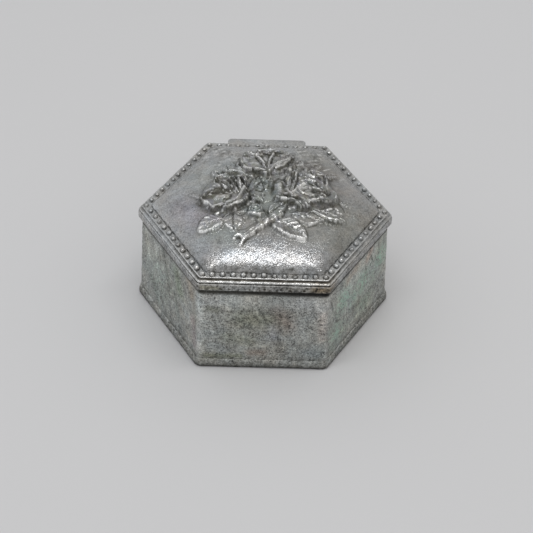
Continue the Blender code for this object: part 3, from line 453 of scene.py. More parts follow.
def length_setting(name, description, size):
    """A length property; size is its default in mm."""
    kind = {"unit": "LENGTH", "subtype": "DISTANCE", "precision": 5}
    return FloatProperty(name=name, description=description, min=0, default=size * mm, **kind)


class BoxSizes(bpy.types.PropertyGroup):
    lid_across_flats: length_setting("Lid across flats", "Width of the lid between two opposite sides", 52)
    wall_top_inset: length_setting("Wall top inset", "Top of the wall, in from the lid's edge", 0.8)
    wall_foot_inset: length_setting("Wall foot inset", "Foot of the wall, in from the lid's edge", 0.3)
    wall_thickness: length_setting("Wall thickness", "Thickness of the cast wall", 1.6)
    foot_overhang: length_setting("Foot overhang", "Edge of the foot, out from the lid's edge", 0.3)
    dome_inset: length_setting("Dome inset", "Foot of the dome, in from the lid's edge", 2.6)
    dome_rise: length_setting("Dome rise", "Height of the dome over its ledge", 5.3)
    dome_thickness: length_setting("Dome thickness", "Thickness of the metal at the crown", 1.3)
    bead_radius: length_setting("Bead radius", "Radius of one bead on the ledge", 0.64)
    bead_line_inset: length_setting("Bead line inset", "Row of beads, in from the lid's edge", 1.75)
    beads_per_side: IntProperty(
        name="Beads per side", description="Steps between beads along one side", min=3, max=40, default=12
    )
    lattice_rings: IntProperty(
        name="Relief fineness", description="Rings of points under the spray", min=20, max=160, default=150
    )
    relief_strength: FloatProperty(
        name="Relief strength", description="Share of the spray's real height", min=0, max=1.2, default=1
    )
    casting_roughness: length_setting("Casting roughness", "Depth of the unevenness left by the mould", 0.05)
    felt_thickness: length_setting("Felt thickness", "Thickness of the lining on the floor", 1.0)


class BoxColours(bpy.types.PropertyGroup):
    lid_metal: colour_setting("Lid metal", "Rubbed white metal of the lid", "A8A8A8")
    wall_metal: colour_setting("Wall metal", "Dull white metal of the walls and the foot", "AAABA8")
    warm_tint: colour_setting("Warm tint", "Tint of the warmer clouds in the metal", "FDFAF5")
    cool_tint: colour_setting("Cool tint", "Tint of the cooler clouds in the metal", "F6FAFC")
    # the tarnish colour is also the colour of the painted shade
    tarnish_and_shade_tone: colour_setting("Tarnish", "Dark tarnish in hollows and pits", "42413A")
    # the worn metal colour also paints the glints, as painted highlights
    bare_and_glint_metal: colour_setting("Worn metal", "Bare metal on rubbed edges", "F0F0EE")
    verdigris: colour_setting("Verdigris", "Green copper salts on the walls", "9CC0AE")
    pin_steel: colour_setting("Pin steel", "Drawn steel wire of the hinge pin", "9A9A9C")
    felt: colour_setting("Felt", "Wool felt on the floor of the box", "5A1A20")
    floor: colour_setting("Floor", "Pale sheet that the box stands on", "D1D1D2")


# Forms of the box


def hexagon_reach(turn, apothem, corner):
    """How far the edge of a hexagon with rounded corners is from its axis, for each turn."""
    within = turn % sixth - sixth / 2
    centre = (apothem - corner) / np.cos(sixth / 2)
    off = sixth / 2 - np.abs(within)
    rounded = centre * np.cos(off) + np.sqrt(np.maximum(corner**2 - (centre * np.sin(off)) ** 2, 0))
    on_flat = np.abs(np.tan(within)) * apothem <= (apothem - corner) * np.tan(sixth / 2)
    return np.where(on_flat, apothem / np.cos(within), rounded)


def ring_turns(side_steps, corner_steps, corner_degrees=1.7):
    """Turns round the box, close together at the corners and evenly spaced along the sides."""
    corner_turn = np.radians(corner_degrees)
    reach = np.tan(sixth / 2 - corner_turn)
    flat = np.arctan(np.linspace(-reach, reach, side_steps + 1)) + sixth / 2
    bend = np.linspace(-corner_turn, corner_turn, corner_steps + 1)[1:-1] + sixth
    one_side = np.concatenate((flat, bend))
    return np.concatenate([one_side + side * sixth for side in range(6)])


def loft_points(profile, turns):
    """Points in rings, one ring for each (apothem, height, corner radius) of the profile."""
    rings = []
    for apothem, height, corner in profile:
        reach = hexagon_reach(turns, apothem, corner)
        rings.append(np.stack((reach * np.cos(turns), reach * np.sin(turns), np.full_like(turns, height)), 1))
    return np.concatenate(rings)


def strip_faces(rings, count, first=0, closed=False):
    """Four-sided faces between rings of equally many points; closed joins the last ring to the first."""
    rows = np.arange(rings if closed else rings - 1)
    here = np.arange(count)
    after = (here + 1) % count
    low = first + rows[:, None] * count
    high = first + ((rows[:, None] + 1) % rings) * count
    return np.stack((low + here, low + after, high + after, high + here), -1).reshape(-1, 4)


def cap_faces(start, count, middle, turned=False):
    """Triangles between a ring of points and the point in its middle."""
    here = start + np.arange(count)
    after = np.roll(here, -1)
    ring = (after, here) if turned else (here, after)
    return np.stack((*ring, np.full(count, middle)), 1)


def capped_faces(rings, count):
    """Faces between rings of points, and to a middle point at each end; those two come after the rings."""
    total = rings * count
    sides = strip_faces(rings, count).tolist()
    low_end = cap_faces(0, count, total, turned=True).tolist()
    high_end = cap_faces(total - count, count, total + 1).tolist()
    return sides + low_end + high_end


def outward_ways(points):
    """The level direction away from the box's axis at each point."""
    return points[:, :2] / np.linalg.norm(points[:, :2], axis=1)[:, None]


def ramp(values, start, width):
    """0 up to the start, then rising to 1 over the width."""
    return np.clip((values - start) / width, 0, 1)


def frontness(points, edge):
    """1 along the front of the lid, fading to 0 towards its middle."""
    return np.clip(-points[:, 1] / edge * 1.8 - 0.8, 0, 1)


def ripple(points, size, seed, waves=14):
    """A smooth random field from -1 to 1, whose lumps are about as wide as size, in mm."""
    chance = np.random.default_rng(seed)
    directions = chance.normal(size=(waves, 3))
    directions /= np.linalg.norm(directions, axis=1)[:, None]
    rates = np.pi / (size * mm) * chance.uniform(0.6, 1.5, waves)
    phases = chance.uniform(0, 2 * np.pi, waves)
    field = np.zeros(len(points))
    for direction, rate, phase in zip(directions, rates, phases):
        field += np.sin(points @ direction * rate + phase)
    return field / np.sqrt(waves) / 1.5


def ripples(points, *layers):
    """A sum of random fields; each layer holds its weight and then size, seed and waves of its ripple."""
    return sum(ripple(points, *layer) * weight for weight, *layer in layers)


def hexagon_lattice(rings):
    """Points and triangles that fill a hexagon of size 1, in rings about its middle."""
    corners = np.stack((np.cos(np.arange(7) * sixth), np.sin(np.arange(7) * sixth)), 1)
    points = [np.zeros((1, 2))]
    faces = []
    start = 0
    for ring in range(rings):
        outer_start = 1 + 3 * ring * (ring + 1)
        outer_size = 6 * (ring + 1)
        inner_size = max(6 * ring, 1)
        steps = np.arange(ring + 1)
        shares = steps[:, None] / (ring + 1)
        for side in range(6):
            points.append((corners[side] + (corners[side + 1] - corners[side]) * shares) * (ring + 1) / rings)
            inner = start + (side * ring + steps) % inner_size
            outer = outer_start + side * (ring + 1) + steps
            beyond = outer_start + (side * (ring + 1) + steps + 1) % outer_size
            faces.append(np.stack((inner, outer, beyond), 1))
            following = start + (side * ring + steps[:-1] + 1) % inner_size
            faces.append(np.stack((inner[:-1], beyond[:-1], following), 1))
        start = outer_start
    return np.concatenate(points), np.concatenate(faces)


def dome_corner(share, apothem, foot_corner=1.6 * mm):
    """Corner radius of the dome's outline, rounder towards the crown."""
    return apothem * share * (crown_round + (foot_corner / apothem - crown_round) * share**dome_fall)


def dome_height(share, foot, rise):
    return foot + rise * np.maximum(1 - share**dome_fall, 0) ** dome_belly


# The relief on the dome


def smooth_line(points, steps=7):
    """A curve through the points, as closely spaced points."""
    padded = np.vstack((2 * points[0] - points[1], points, 2 * points[-1] - points[-2]))
    share = np.linspace(0, 1, steps, endpoint=False)[:, None]
    parts = []
    for before, start, end, after in zip(padded, padded[1:], padded[2:], padded[3:]):
        slope = (end - before) * share
        bend = (2 * before - 5 * start + 4 * end - after) * share**2
        twist = (3 * start - before - 3 * end + after) * share**3
        parts.append((2 * start + slope + bend + twist) / 2)
    return np.vstack(parts + [points[-1:]])


class Relief:
    """Height of the spray over the bare dome, at the places x and y, all in millimetres.

    Lines are given as the x and y of their points in turn.
    """

    def __init__(self, x, y):
        self.x = x
        self.y = y
        self.height = np.zeros_like(x)
        self.painted_shade = np.zeros_like(x)
        self.painted_highlight = np.zeros_like(x)

    def lift(self, places, height):
        self.height[places] = np.maximum(self.height[places], height)

    def beside(self, line, reach):
        """Places near a line, their distance from it (positive on its left), share along it and overrun."""
        line = smooth_line(np.reshape(line, (-1, 2)).astype(float))
        low = line.min(0) - reach
        high = line.max(0) + reach
        inside = (self.x > low[0]) & (self.x < high[0]) & (self.y > low[1]) & (self.y < high[1])
        places = np.flatnonzero(inside)
        spot = np.stack((self.x[places], self.y[places]), 1)
        nearest = np.full(len(places), np.inf)
        side, share, over = np.zeros((3, len(places)))
        steps = np.linalg.norm(np.diff(line, axis=0), axis=1)
        begun = np.concatenate(([0], np.cumsum(steps)))
        for index, (start, end, length) in enumerate(zip(line, line[1:], steps)):
            along = (end - start) / length
            offset = spot - start
            run = offset @ along
            held = np.clip(run, 0, length)
            distance = np.linalg.norm(offset - held[:, None] * along, axis=1)
            closer = distance < nearest
            nearest[closer] = distance[closer]
            cross = along[0] * offset[:, 1] - along[1] * offset[:, 0]
            side[closer] = np.where(cross[closer] >= 0, 1.0, -1.0)
            share[closer] = (begun[index] + held[closer]) / begun[-1]
            beyond = np.maximum(-run, 0) if index == 0 else np.zeros(len(places))
            if index == len(steps) - 1:
                beyond = np.maximum(run - length, beyond)
            over[closer] = beyond[closer]
        return places, nearest * side, share, over

    def petal(self, height, cup, reach, *rim):
        """A cupped petal: a thin raised lip, a bowl inwards and a steep wall down to what carries it."""
        fillet, lip, lip_drop, least_reach = 0.50, 0.13, 0.16, 1.3
        places, distance, share, over = self.beside(rim, max(reach, least_reach) + 0.2)
        sway = 0.09 * np.sin(share * 11 + rim[0] * 3) + 0.04 * np.sin(share * 23 + rim[1] * 5)
        crest = height * (1 - 0.15 * np.abs(2 * share - 1) ** 3) + sway - over**2 * 4
        bowl = cup * (1 - (1 - ramp(distance, lip, reach - lip)) ** 2)
        inner = crest - lip_drop * ramp(distance, lip, lip_drop) - bowl
        outer = crest * np.exp(-((np.maximum(-distance, 0) / fillet) ** 1.25))
        raised = np.where(distance >= 0, inner, outer)
        raised[distance > reach] = 0
        self.lift(places, raised)

    def fold(self, height, half_width, *line):
        """A narrow folded petal seen from its edge."""
        places, distance, share, over = self.beside(line, half_width + 0.4)
        sway = 0.10 * np.sin(share * 9 + line[0] * 4) + 0.05 * np.sin(share * 21 + line[1] * 3)
        crest = height * (1 - 0.13 * np.abs(2 * share - 1) ** 3) + sway - over**2 * 5
        self.lift(places, crest - np.minimum(np.abs(distance) / half_width, 1.5) ** 1.5)

    def slit(self, depth, half_width, line):
        """A groove cut into what is there, with painted shade along it."""
        places, distance, share, over = self.beside(line, half_width * 2.2)
        gap = distance**2 + over**2
        self.height[places] -= depth * np.exp(-gap / half_width**2) * ramp(self.height[places], 0, 0.5)
        shade = np.exp(-gap / (half_width * (1 + depth)) ** 2) * min(0.65 + depth, 1)
        self.painted_shade[places] = np.maximum(self.painted_shade[places], shade)

    def glint(self, strength, half_width, line):
        """A narrow edge or high spot, raised a little and painted bright: a painted highlight and wear."""
        places, distance, share, over = self.beside(line, half_width * 2.2)
        near = strength * np.exp(-(distance**2 + over**2) / half_width**2)
        self.height[places] += 0.12 * near
        self.painted_highlight[places] = np.maximum(self.painted_highlight[places], near)

    def body(self, x, y, half_x, half_y, height):
        """A low mound that fills a rose under its petals."""
        share = np.hypot((self.x - x) / half_x, (self.y - y) / half_y)
        places = np.flatnonzero(share < 1)
        self.lift(places, height * (1 - share[places] ** 3) ** 0.6)

    def leaf(self, x, y, tip_x, tip_y, half_width, bend, height, tilt, veins):
        """A toothed leaf with turned-up edges, a sunken rib and a pillow between each two side veins."""
        along = np.array((tip_x - x, tip_y - y))
        length = np.linalg.norm(along)
        along = along / length
        run = ((self.x - x) * along[0] + (self.y - y) * along[1]) / length
        drift = (self.y - y) * along[0] - (self.x - x) * along[1]
        drift = drift - bend * 4 * run * (1 - run)
        places = np.flatnonzero((run > -0.02) & (run < 1.02) & (np.abs(drift) < half_width * 1.3 + 0.6))
        run = np.clip(run[places], 0.001, 0.999)
        drift = drift[places]
        side = np.abs(drift)
        tooth = (run * (veins * 2 + 1)) % 1
        width = half_width * np.sin(np.pi * run**0.85) ** 0.75 * (1 + 0.13 * (tooth - 0.5))
        inset = width - side
        pillow = np.abs(np.sin(np.pi * (run * length - side * 0.75) / length * (veins + 1)))
        crest = height * (0.72 + 0.28 * np.sin(np.pi * run)) + tilt * drift / np.maximum(width, 0.05) * 0.8
        crest += 0.20 * pillow**0.7 * ramp(inset, 0, 0.5) * ramp(side, 0, 0.3)
        crest += 0.20 * np.exp(-(((inset - 0.14) / 0.16) ** 2)) * (0.6 + 0.4 * tooth)
        crest -= 0.24 * np.exp(-((drift / 0.17) ** 2))
        crest *= np.exp(-((np.maximum(-inset, 0) / 0.26) ** 1.5))
        self.lift(places, np.where(width > 0.08, crest, 0))

    def stem(self, start, end, lift, *line):
        """A stem with a ridge along each side, start and end being its half widths."""
        places, distance, share, over = self.beside(line, max(start, end) + 0.4)
        radius = start + (end - start) * share
        gap = np.hypot(distance, over) / radius
        ridge = 0.16 * np.exp(-(((gap - 0.62) / 0.20) ** 2)) * (1 + 0.6 * np.sin(share * 31 + distance * 2))
        round_top = lift + radius * 0.80 * np.sqrt(np.maximum(1 - gap**2.6, 0)) + ridge
        self.lift(places, np.where(gap < 1, round_top, 0))

    def knot(self, x, y, radius, height):
        gap = np.hypot(self.x - x, self.y - y) / radius
        places = np.flatnonzero(gap < 1)
        self.lift(places, height * (1 - gap[places] ** 2) ** 0.45)

    def bud(self, x, y, radius, height):
        """A furled bud: a ball with a spiral seam on it, held by a sepal in front."""
        seam_turns, seam_depth = 1.7, 0.34
        gap = np.hypot(self.x - x, (self.y - y) * 1.05) / radius
        places = np.flatnonzero(gap < 1)
        turn = np.arctan2(self.y[places] - y, self.x[places] - x)
        near = gap[places]
        seam = np.cos(turn - near * 2 * np.pi * seam_turns) ** 6
        ball = height * (1 - near**2.6) ** 0.5
        self.lift(places, ball - seam_depth * seam * np.sin(np.pi * np.clip(near * 1.1, 0, 1)))
        sepal = (x - 2.0, y - 0.9, x - 1.2, y - 1.55, x, y - 1.75, x + 1.2, y - 1.55, x + 1.9, y - 0.9)
        self.petal(height * 0.72, 0.35, 0.8, *sepal)


def lay_forms(x, y):
    """The spray without its fine lines: leaves, stems, three roses, a bud and knots."""
    relief = Relief(x / mm, y / mm)
    laid = (
        (relief.leaf, leaves),
        (relief.stem, stems),
        (relief.body, bodies),
        (relief.petal, left_rose + right_rose + back_rose),
        (relief.fold, left_rose_folds + right_rose_folds + back_rose_folds),
        (relief.bud, (bud,)),
        (relief.knot, knots),
    )
    for lay, rows in laid:
        for row in rows:
            lay(*row)
    return relief


def dome_share(x, y, apothem):
    """Which of the dome's outlines each place lies on, 0 at the crown and 1 at the foot, found by halving."""
    turn = np.arctan2(y, x)
    distance = np.hypot(x, y)
    low = np.full_like(x, 1e-4)
    high = np.ones_like(x)
    for _ in range(14):
        middle = (low + high) / 2
        within = hexagon_reach(turn, apothem * middle, dome_corner(middle, apothem)) > distance
        high = np.where(within, middle, high)
        low = np.where(within, low, middle)
    return high


def onto_relief(lines, apothem, rise, step=0.12 * mm, stride=0.02 * mm):
    """Lines in the photograph's pixels as places in mm, where the view through a pixel meets the relief."""
    lines = [np.reshape(line, (-1, 2)) for line in lines]
    axis = np.arange(-apothem, apothem, step)
    x, y = (field.ravel() for field in np.meshgrid(axis, axis, indexing="ij"))
    surface = dome_height(dome_share(x, y, apothem), ledge, rise) + lay_forms(x, y).height * mm
    surface = surface.reshape(len(axis), len(axis))
    pixels = np.concatenate(lines) - picture_pixels / 2
    ways = pixels[:, :1] * view_right - pixels[:, 1:] * view_upward
    ways -= lens_mm / sensor_mm * picture_pixels * view_back
    ways /= np.linalg.norm(ways, axis=1)[:, None]
    # each view is followed down from just over the tallest petal
    reach = (ledge + rise + 3.5 * mm - view_place[2]) / ways[:, 2]
    run = reach[:, None] + np.arange(0, 18 * mm, stride)
    spots = view_place + run[..., None] * ways[:, None]
    grid = np.clip((spots[..., :2] + apothem) / step, 0, len(axis) - 1.01)
    near = grid.astype(int)
    share = grid - near
    level = 0
    for right in (0, 1):
        for far in (0, 1):
            weight = np.abs(1 - right - share[..., 0]) * np.abs(1 - far - share[..., 1])
            level = level + weight * surface[near[..., 0] + right, near[..., 1] + far]
    first = (spots[..., 2] <= level).argmax(1)
    found = spots[np.arange(len(first)), first, :2] / mm
    return np.split(found, np.cumsum([len(line) for line in lines])[:-1])


def lay_spray(x, y, apothem, rise):
    """The whole spray, with the slits and their painted shade, and the glints painted bright, along the lines
    that the photograph shows on it.
    """
    relief = lay_forms(x, y)
    places = onto_relief([row[2:] for row in slits + glints], apothem, rise)
    for (depth, half_width, *_), line in zip(slits, places):
        relief.slit(depth, half_width, line)
    for (strength, half_width, *_), line in zip(glints, places[len(slits) :]):
        relief.glint(strength, half_width, line)
    return relief


def neighbour_mean(field, edges, passes):
    """The field after each point has taken the mean of itself and its neighbours, several times."""
    count = len(field)
    one, other = edges.T
    weight = np.bincount(edges.ravel(), minlength=count) + 1.0
    for _ in range(passes):
        total = np.bincount(one, field[other], count) + np.bincount(other, field[one], count)
        field = (field + total) / weight
    return field


def steepness(field, edges, spacing):
    """How steeply the field changes from each point to its neighbours, as a slope."""
    count = len(field)
    change = np.abs(field[edges[:, 0]] - field[edges[:, 1]]) / spacing
    weight = np.bincount(edges.ravel(), minlength=count)
    return np.bincount(edges.ravel(), np.repeat(change, 2), count) / np.maximum(weight, 1)


def tint_along_lines(points, tint_rows):
    """The tint that the rows give at each point, 1 where there is none; each fades out round its line."""
    tint = np.ones((len(points), 3))
    spots = points / mm
    for tint_and_painted_light in tint_rows:
        start, end, shares = np.array(tint_and_painted_light[:3]), np.array(tint_and_painted_light[3:6]), np.array(tint_and_painted_light[7:])
        along = end - start
        offset = spots - start
        run = np.clip(offset @ along / (along @ along), 0, 1)
        gap = np.linalg.norm(offset - run[:, None] * along, axis=1) / tint_and_painted_light[6]
        tint *= 1 + (shares - 1) * np.exp(-(gap**2))[:, None]
    return tint


def scratches(count=150, seed=61):
    """Short slanted streaks and scratches, light and dark, strewn over the outside of the walls."""
    chance = np.random.default_rng(seed)
    wall_reach = 25.4
    made = []
    for _ in range(count):
        side = chance.integers(6) * sixth + sixth / 2
        across = chance.uniform(-14, 14)
        height = chance.uniform(4, 21)
        slant = chance.normal(0.25, 0.25)
        length = chance.uniform(1.0, 4.5)
        tone = chance.choice((0.62, 0.76, 1.20, 1.32))
        ends = []
        for along, level in ((across, height), (across + slant * length, height - length)):
            ends.append(wall_reach * np.cos(side) - along * np.sin(side))
            ends.append(wall_reach * np.sin(side) + along * np.cos(side))
            ends.append(level)
        made.append((*ends, chance.uniform(0.18, 0.34), tone, tone, tone))
    return tuple(made)


def bead_corner_reach(sizes):
    """How far the beads on the corners are from the box's axis."""
    return (sizes.lid_across_flats / 2 - sizes.bead_line_inset) / np.cos(sixth / 2)


def bead_places(sizes):
    """Middles of the beads along the ledge, seen from above."""
    turns = np.arange(7) * sixth
    corners = bead_corner_reach(sizes) * np.stack((np.cos(turns), np.sin(turns)), 1)
    share = np.arange(sizes.beads_per_side)[:, None] / sizes.beads_per_side
    return np.concatenate([start + (end - start) * share for start, end in zip(corners, corners[1:])])


# Meshes


def keep_mark(mesh, mark, values):
    """Keeps a value, or a tint of three shares, at each point of the mesh."""
    if values.ndim == 1:
        mesh.attributes.new(mark, "FLOAT", "POINT").data.foreach_set("value", values.astype(np.float32))
    else:
        tint = np.concatenate((values, np.ones((len(values), 1))), 1).astype(np.float32)
        mesh.attributes.new(mark, "FLOAT_COLOR", "POINT").data.foreach_set("color", tint.ravel())


def finish_piece(name, mesh, material, body, nodes, sharp=np.radians(50)):
    """Turns the faces outwards and lets the mesh ride on a body in place of CAD nodes."""
    shell = bmesh.new()
    shell.from_mesh(mesh)
    bmesh.ops.recalc_face_normals(shell, faces=shell.faces)
    shell.to_mesh(mesh)
    shell.free()
    mesh.shade_smooth()
    mesh.set_sharp_from_angle(angle=sharp)
    mesh.materials.clear()
    mesh.materials.append(material)
    item = bpy.data.objects.new(name, mesh)
    bpy.context.scene.collection.objects.link(item)
    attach(item, body)
    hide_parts(*nodes)
    return item


def make_piece(name, points, faces, material, body, nodes, marks=None):
    """A finished piece from points and faces; marks are values kept at its points."""
    mesh = bpy.data.meshes.new(name)
    mesh.from_pydata(points.tolist(), [], [list(face) for face in faces])
    for mark, values in (marks or {}).items():
        keep_mark(mesh, mark, values)
    return finish_piece(name, mesh, material, body, nodes)


def mesh_edges(faces):
    """Each edge of the faces once, as pairs of points."""
    after = np.roll(faces, -1, 1)
    pairs = np.concatenate([np.stack(sides, 1) for sides in zip(faces.T, after.T)])
    return np.unique(np.sort(pairs, 1), axis=0)


def block(low, high):
    """A box between its lowest and its highest corner."""
    low = Vector(low)
    high = Vector(high)
    body = bmesh.new()
    place = Matrix.Translation((low + high) / 2) @ Matrix.Diagonal((*(high - low), 1))
    bmesh.ops.create_cube(body, size=1, matrix=place)
    return body


def soften(body, edges, width, segments):
    """Rounds some edges of a body."""
    bmesh.ops.bevel(body, geom=edges, offset=width, segments=segments, profile=0.5, affect="EDGES")
    return body


def knuckle(start, end, steps=40):
    """A knuckle round the hinge axis, with its bore and softened ends."""
    outline = (
        (knuckle_radius - soft_edge, start),
        (knuckle_radius, start + soft_edge),
        (knuckle_radius, end - soft_edge),
        (knuckle_radius - soft_edge, end),
        (bore_radius, end),
        (bore_radius, start),
    )
    body = bmesh.new()
    points = []
    for radius, along in outline:
        for turn in np.linspace(0, 2 * np.pi, steps, endpoint=False):
            place = (along, axis_back + radius * np.cos(turn), axis_height + radius * np.sin(turn))
            points.append(body.verts.new(place))
    for face in strip_faces(len(outline), steps, closed=True):
        body.faces.new([points[index] for index in face])
    return body


def gather(name, bodies):
    """One mesh made of several closed bodies."""
    mesh = bpy.data.meshes.new(name)
    whole = bmesh.new()
    for body in bodies:
        part = bpy.data.meshes.new("part")
        body.to_mesh(part)
        body.free()
        whole.from_mesh(part)
        bpy.data.meshes.remove(part)
    whole.to_mesh(mesh)
    whole.free()
    return mesh


# Materials


def node(tree, kind, inputs=None, **settings):
    """Adds a node with its settings; an input is a value or the socket that feeds it."""
    made = tree.nodes.new(kind)
    for name, value in settings.items():
        setattr(made, name, value)
    for name, value in (inputs or {}).items():
        if isinstance(value, bpy.types.NodeSocket):
            tree.links.new(value, made.inputs[name])
        else:
            made.inputs[name].default_value = value
    return made


def new_material(name):
    """A material with an empty tree, that tree and its object coordinates."""
    material = bpy.data.materials.new(name)
    material.use_nodes = True
    tree = material.node_tree
    tree.nodes.clear()
    return material, tree, node(tree, "ShaderNodeTexCoord").outputs["Object"]


def finish_material(tree, shading):
    shader = node(tree, "ShaderNodeBsdfPrincipled", shading)
    node(tree, "ShaderNodeOutputMaterial", {"Surface": shader.outputs[0]})


def cast_white_metal(name, body_colour, colours, roughness, tones, grain, lumps, patina=False):
    """Cast white metal, a tin alloy: grainy from the mould, dark with tarnish and painted shade in its
    hollows, bright with wear and painted highlights on its edges.

    The eye gets broad soft highlights broken up by fine pits, and cloudy warm and cool tints. The grain
    of the mould, about 0.1 mm, is drawn at 0.3 mm so that it shows. tones are the contrasts of the
    clouds, the blotches, the stucco, the grains and the streaks, grain is the depth of the bumps and
    lumps the share of the coarser ones among them.
    """
    material, tree, place = new_material(name)
    aside = node(tree, "ShaderNodeMapping", {"Vector": place, "Location": (0.1, 0.05, 0.02)}).outputs[0]
    slanted = {"Vector": place, "Rotation": (0, np.radians(14), 0), "Scale": (1, 1, 0.22)}
    upright = node(tree, "ShaderNodeMapping", slanted).outputs[0]
    # name, where, size in mm, detail, roughness, distortion
    noises = (
        ("clouds", place, 6, 3, 0.6, 0.6),
        ("hues", aside, 4.5, 4, 0.6, 0),
        ("blotches", place, 1.6, 4, 0.7, 0),
        ("stucco", aside, 0.75, 2, 0.6, 0),
        ("grains", place, 0.32, 1, 0.6, 0),
        ("specks", aside, 0.19, 0, 0.6, 0),
        ("streaks", upright, 0.9, 3, 0.7, 0),
    )
    made = {"tone": 1 - sum(tones) / 2}
    for key, where, size, detail, rough, distortion in noises:
        settings = {"Vector": where, "Scale": 1 / (size * mm), "Detail": detail}
        settings.update({"Roughness": rough, "Distortion": distortion})
        made[key] = node(tree, "ShaderNodeTexNoise", settings).outputs["Fac"]
    for key in ("tarnish_and_shade", "wear_and_glint", "tint_and_painted_light") + ("verdigris",) * patina:
        output = "Color" if key == "tint_and_painted_light" else "Fac"
        made[key] = node(tree, "ShaderNodeAttribute", attribute_name=key).outputs[output]

    # name of the result, operation, inputs as numbers or names, and whether the result is held from 0 to 1
    fields = ("clouds", "blotches", "stucco", "grains", "streaks")
    steps = [("tone", "MULTIPLY_ADD", field, share, "tone", False) for field, share in zip(fields, tones)]
    steps += [
        ("hue", "MULTIPLY_ADD", "hues", 3.0, -1.0, True),
        ("pits", "MULTIPLY_ADD", "grains", -9.0, 3.42, True),
        ("half_pits", "MULTIPLY", "pits", 0.5, False),
        ("hollows", "MAXIMUM", "tarnish_and_shade", "half_pits", True),
        ("patches", "MULTIPLY", "grains", 0.8, False),
        ("patches", "MULTIPLY_ADD", "blotches", 1.2, "patches", False),
        # tarnish and painted shade together, from the marks
        ("tarnish_and_shade_share", "MULTIPLY", "hollows", "patches", True),
        ("rubs", "MULTIPLY_ADD", "grains", 1.8, 0.15, False),
        # wear and painted highlights together, from the marks
        ("wear_and_glint_share", "MULTIPLY", "wear_and_glint", "rubs", True),
        ("metallic", "MULTIPLY_ADD", "tarnish_and_shade_share", -0.55, 1.0, True),
        ("metallic", "MULTIPLY_ADD", "wear_and_glint_share", -0.3, "metallic", True),
        ("rough", "MULTIPLY_ADD", "blotches", 0.35, roughness - 0.175, False),
        ("rough", "MULTIPLY_ADD", "tarnish_and_shade_share", 0.25, "rough", False),
        ("rough", "MULTIPLY_ADD", "wear_and_glint_share", -0.06, "rough", True),
        ("coarse", "MULTIPLY", "blotches", 1.2 * lumps, False),
        ("coarse", "MULTIPLY_ADD", "stucco", 1.6 * lumps, "coarse", False),
        ("coarse", "MULTIPLY_ADD", "specks", 0.4, "coarse", False),
        ("height", "ADD", "grains", "coarse", False),
    ]
    # name of the result, kind, amount, lower and upper colour
    layers = [
        ("tint", "MIX", "hue", (*colours.warm_tint, 1), (*colours.cool_tint, 1)),
        ("colour", "MULTIPLY", 1.0, (*body_colour, 1), "tint"),
        ("colour", "MULTIPLY", 1.0, "colour", "tone"),
        ("colour", "MIX", "tarnish_and_shade_share", "colour", (*colours.tarnish_and_shade_tone, 1)),
        ("colour", "MULTIPLY", 1.0, "colour", "tint_and_painted_light"),
        ("colour", "MIX", "wear_and_glint_share", "colour", (*colours.bare_and_glint_metal, 1)),
    ]
    if patina:
        steps += [
            ("fleck", "MULTIPLY", "blotches", 0.4, False),
            ("fleck", "MULTIPLY_ADD", "stucco", 0.6, "fleck", False),
            ("fleck", "MULTIPLY_ADD", "fleck", 7.0, -3.08, True),
            ("fleck", "MULTIPLY_ADD", "fleck", 0.95, 0.08, False),
            ("green", "MULTIPLY", "verdigris", "fleck", True),
            ("bare", "MULTIPLY_ADD", "green", -0.9, 1.0, False),
            ("metallic", "MULTIPLY", "metallic", "bare", True),
            ("rough", "MULTIPLY_ADD", "green", 0.3, "rough", True),
        ]
        layers.append(("colour", "MIX", "green", "colour", (*colours.verdigris, 1)))
    for key, operation, *values, held in steps:
        fed = {index: made.get(value, value) for index, value in enumerate(values)}
        made[key] = node(tree, "ShaderNodeMath", fed, operation=operation, use_clamp=held).outputs[0]
    for key, kind, *values in layers:
        fed = {socket: made.get(value, value) for socket, value in zip((0, 6, 7), values)}
        made[key] = node(tree, "ShaderNodeMix", fed, data_type="RGBA", blend_type=kind).outputs[2]
    bump = node(tree, "ShaderNodeBump", {"Strength": 1.0, "Distance": grain, "Height": made["height"]})
    shading = {"Base Color": made["colour"], "Metallic": made["metallic"], "Roughness": made["rough"]}
    finish_material(tree, {"Normal": bump.outputs[0], **shading})
    return material


def patterned(name, colour, dark, light, stops, noise, shading, bump=None, stretch=(1, 1, 1)):
    """A material with one noise, whose colour runs from its dark to its light share between two stops.

    bump is the strength and the depth of its relief.
    """
    material, tree, place = new_material(name)
    where = node(tree, "ShaderNodeMapping", {"Vector": place, "Scale": stretch}).outputs[0]
    pattern = node(tree, "ShaderNodeTexNoise", {"Vector": where, **noise}).outputs["Fac"]
    tones = node(tree, "ShaderNodeValToRGB", {"Fac": pattern})
    for element, stop, share in zip(tones.color_ramp.elements, stops, (dark, light)):
        element.position = stop
        element.color = (*[min(share * value, 1) for value in colour], 1)
    shading = {"Base Color": tones.outputs[0], **shading}
    if bump:
        strength, depth = bump
        height = {"Strength": strength, "Distance": depth, "Height": pattern}
        shading["Normal"] = node(tree, "ShaderNodeBump", height).outputs[0]
    finish_material(tree, shading)
    return material


def drawn_steel(colours):
    """Drawn steel wire: fine lines along its length and a grey sheen."""
    noise = {"Scale": 1 / (0.12 * mm), "Detail": 2}
    shading = {"Metallic": 1.0, "Roughness": 0.32}
    bump, stretch = (0.5, 0.01 * mm), (0.04, 1, 1)
    return patterned("drawn_steel_wire", colours.pin_steel, 0.6, 1, (0.3, 0.7), noise, shading, bump, stretch)


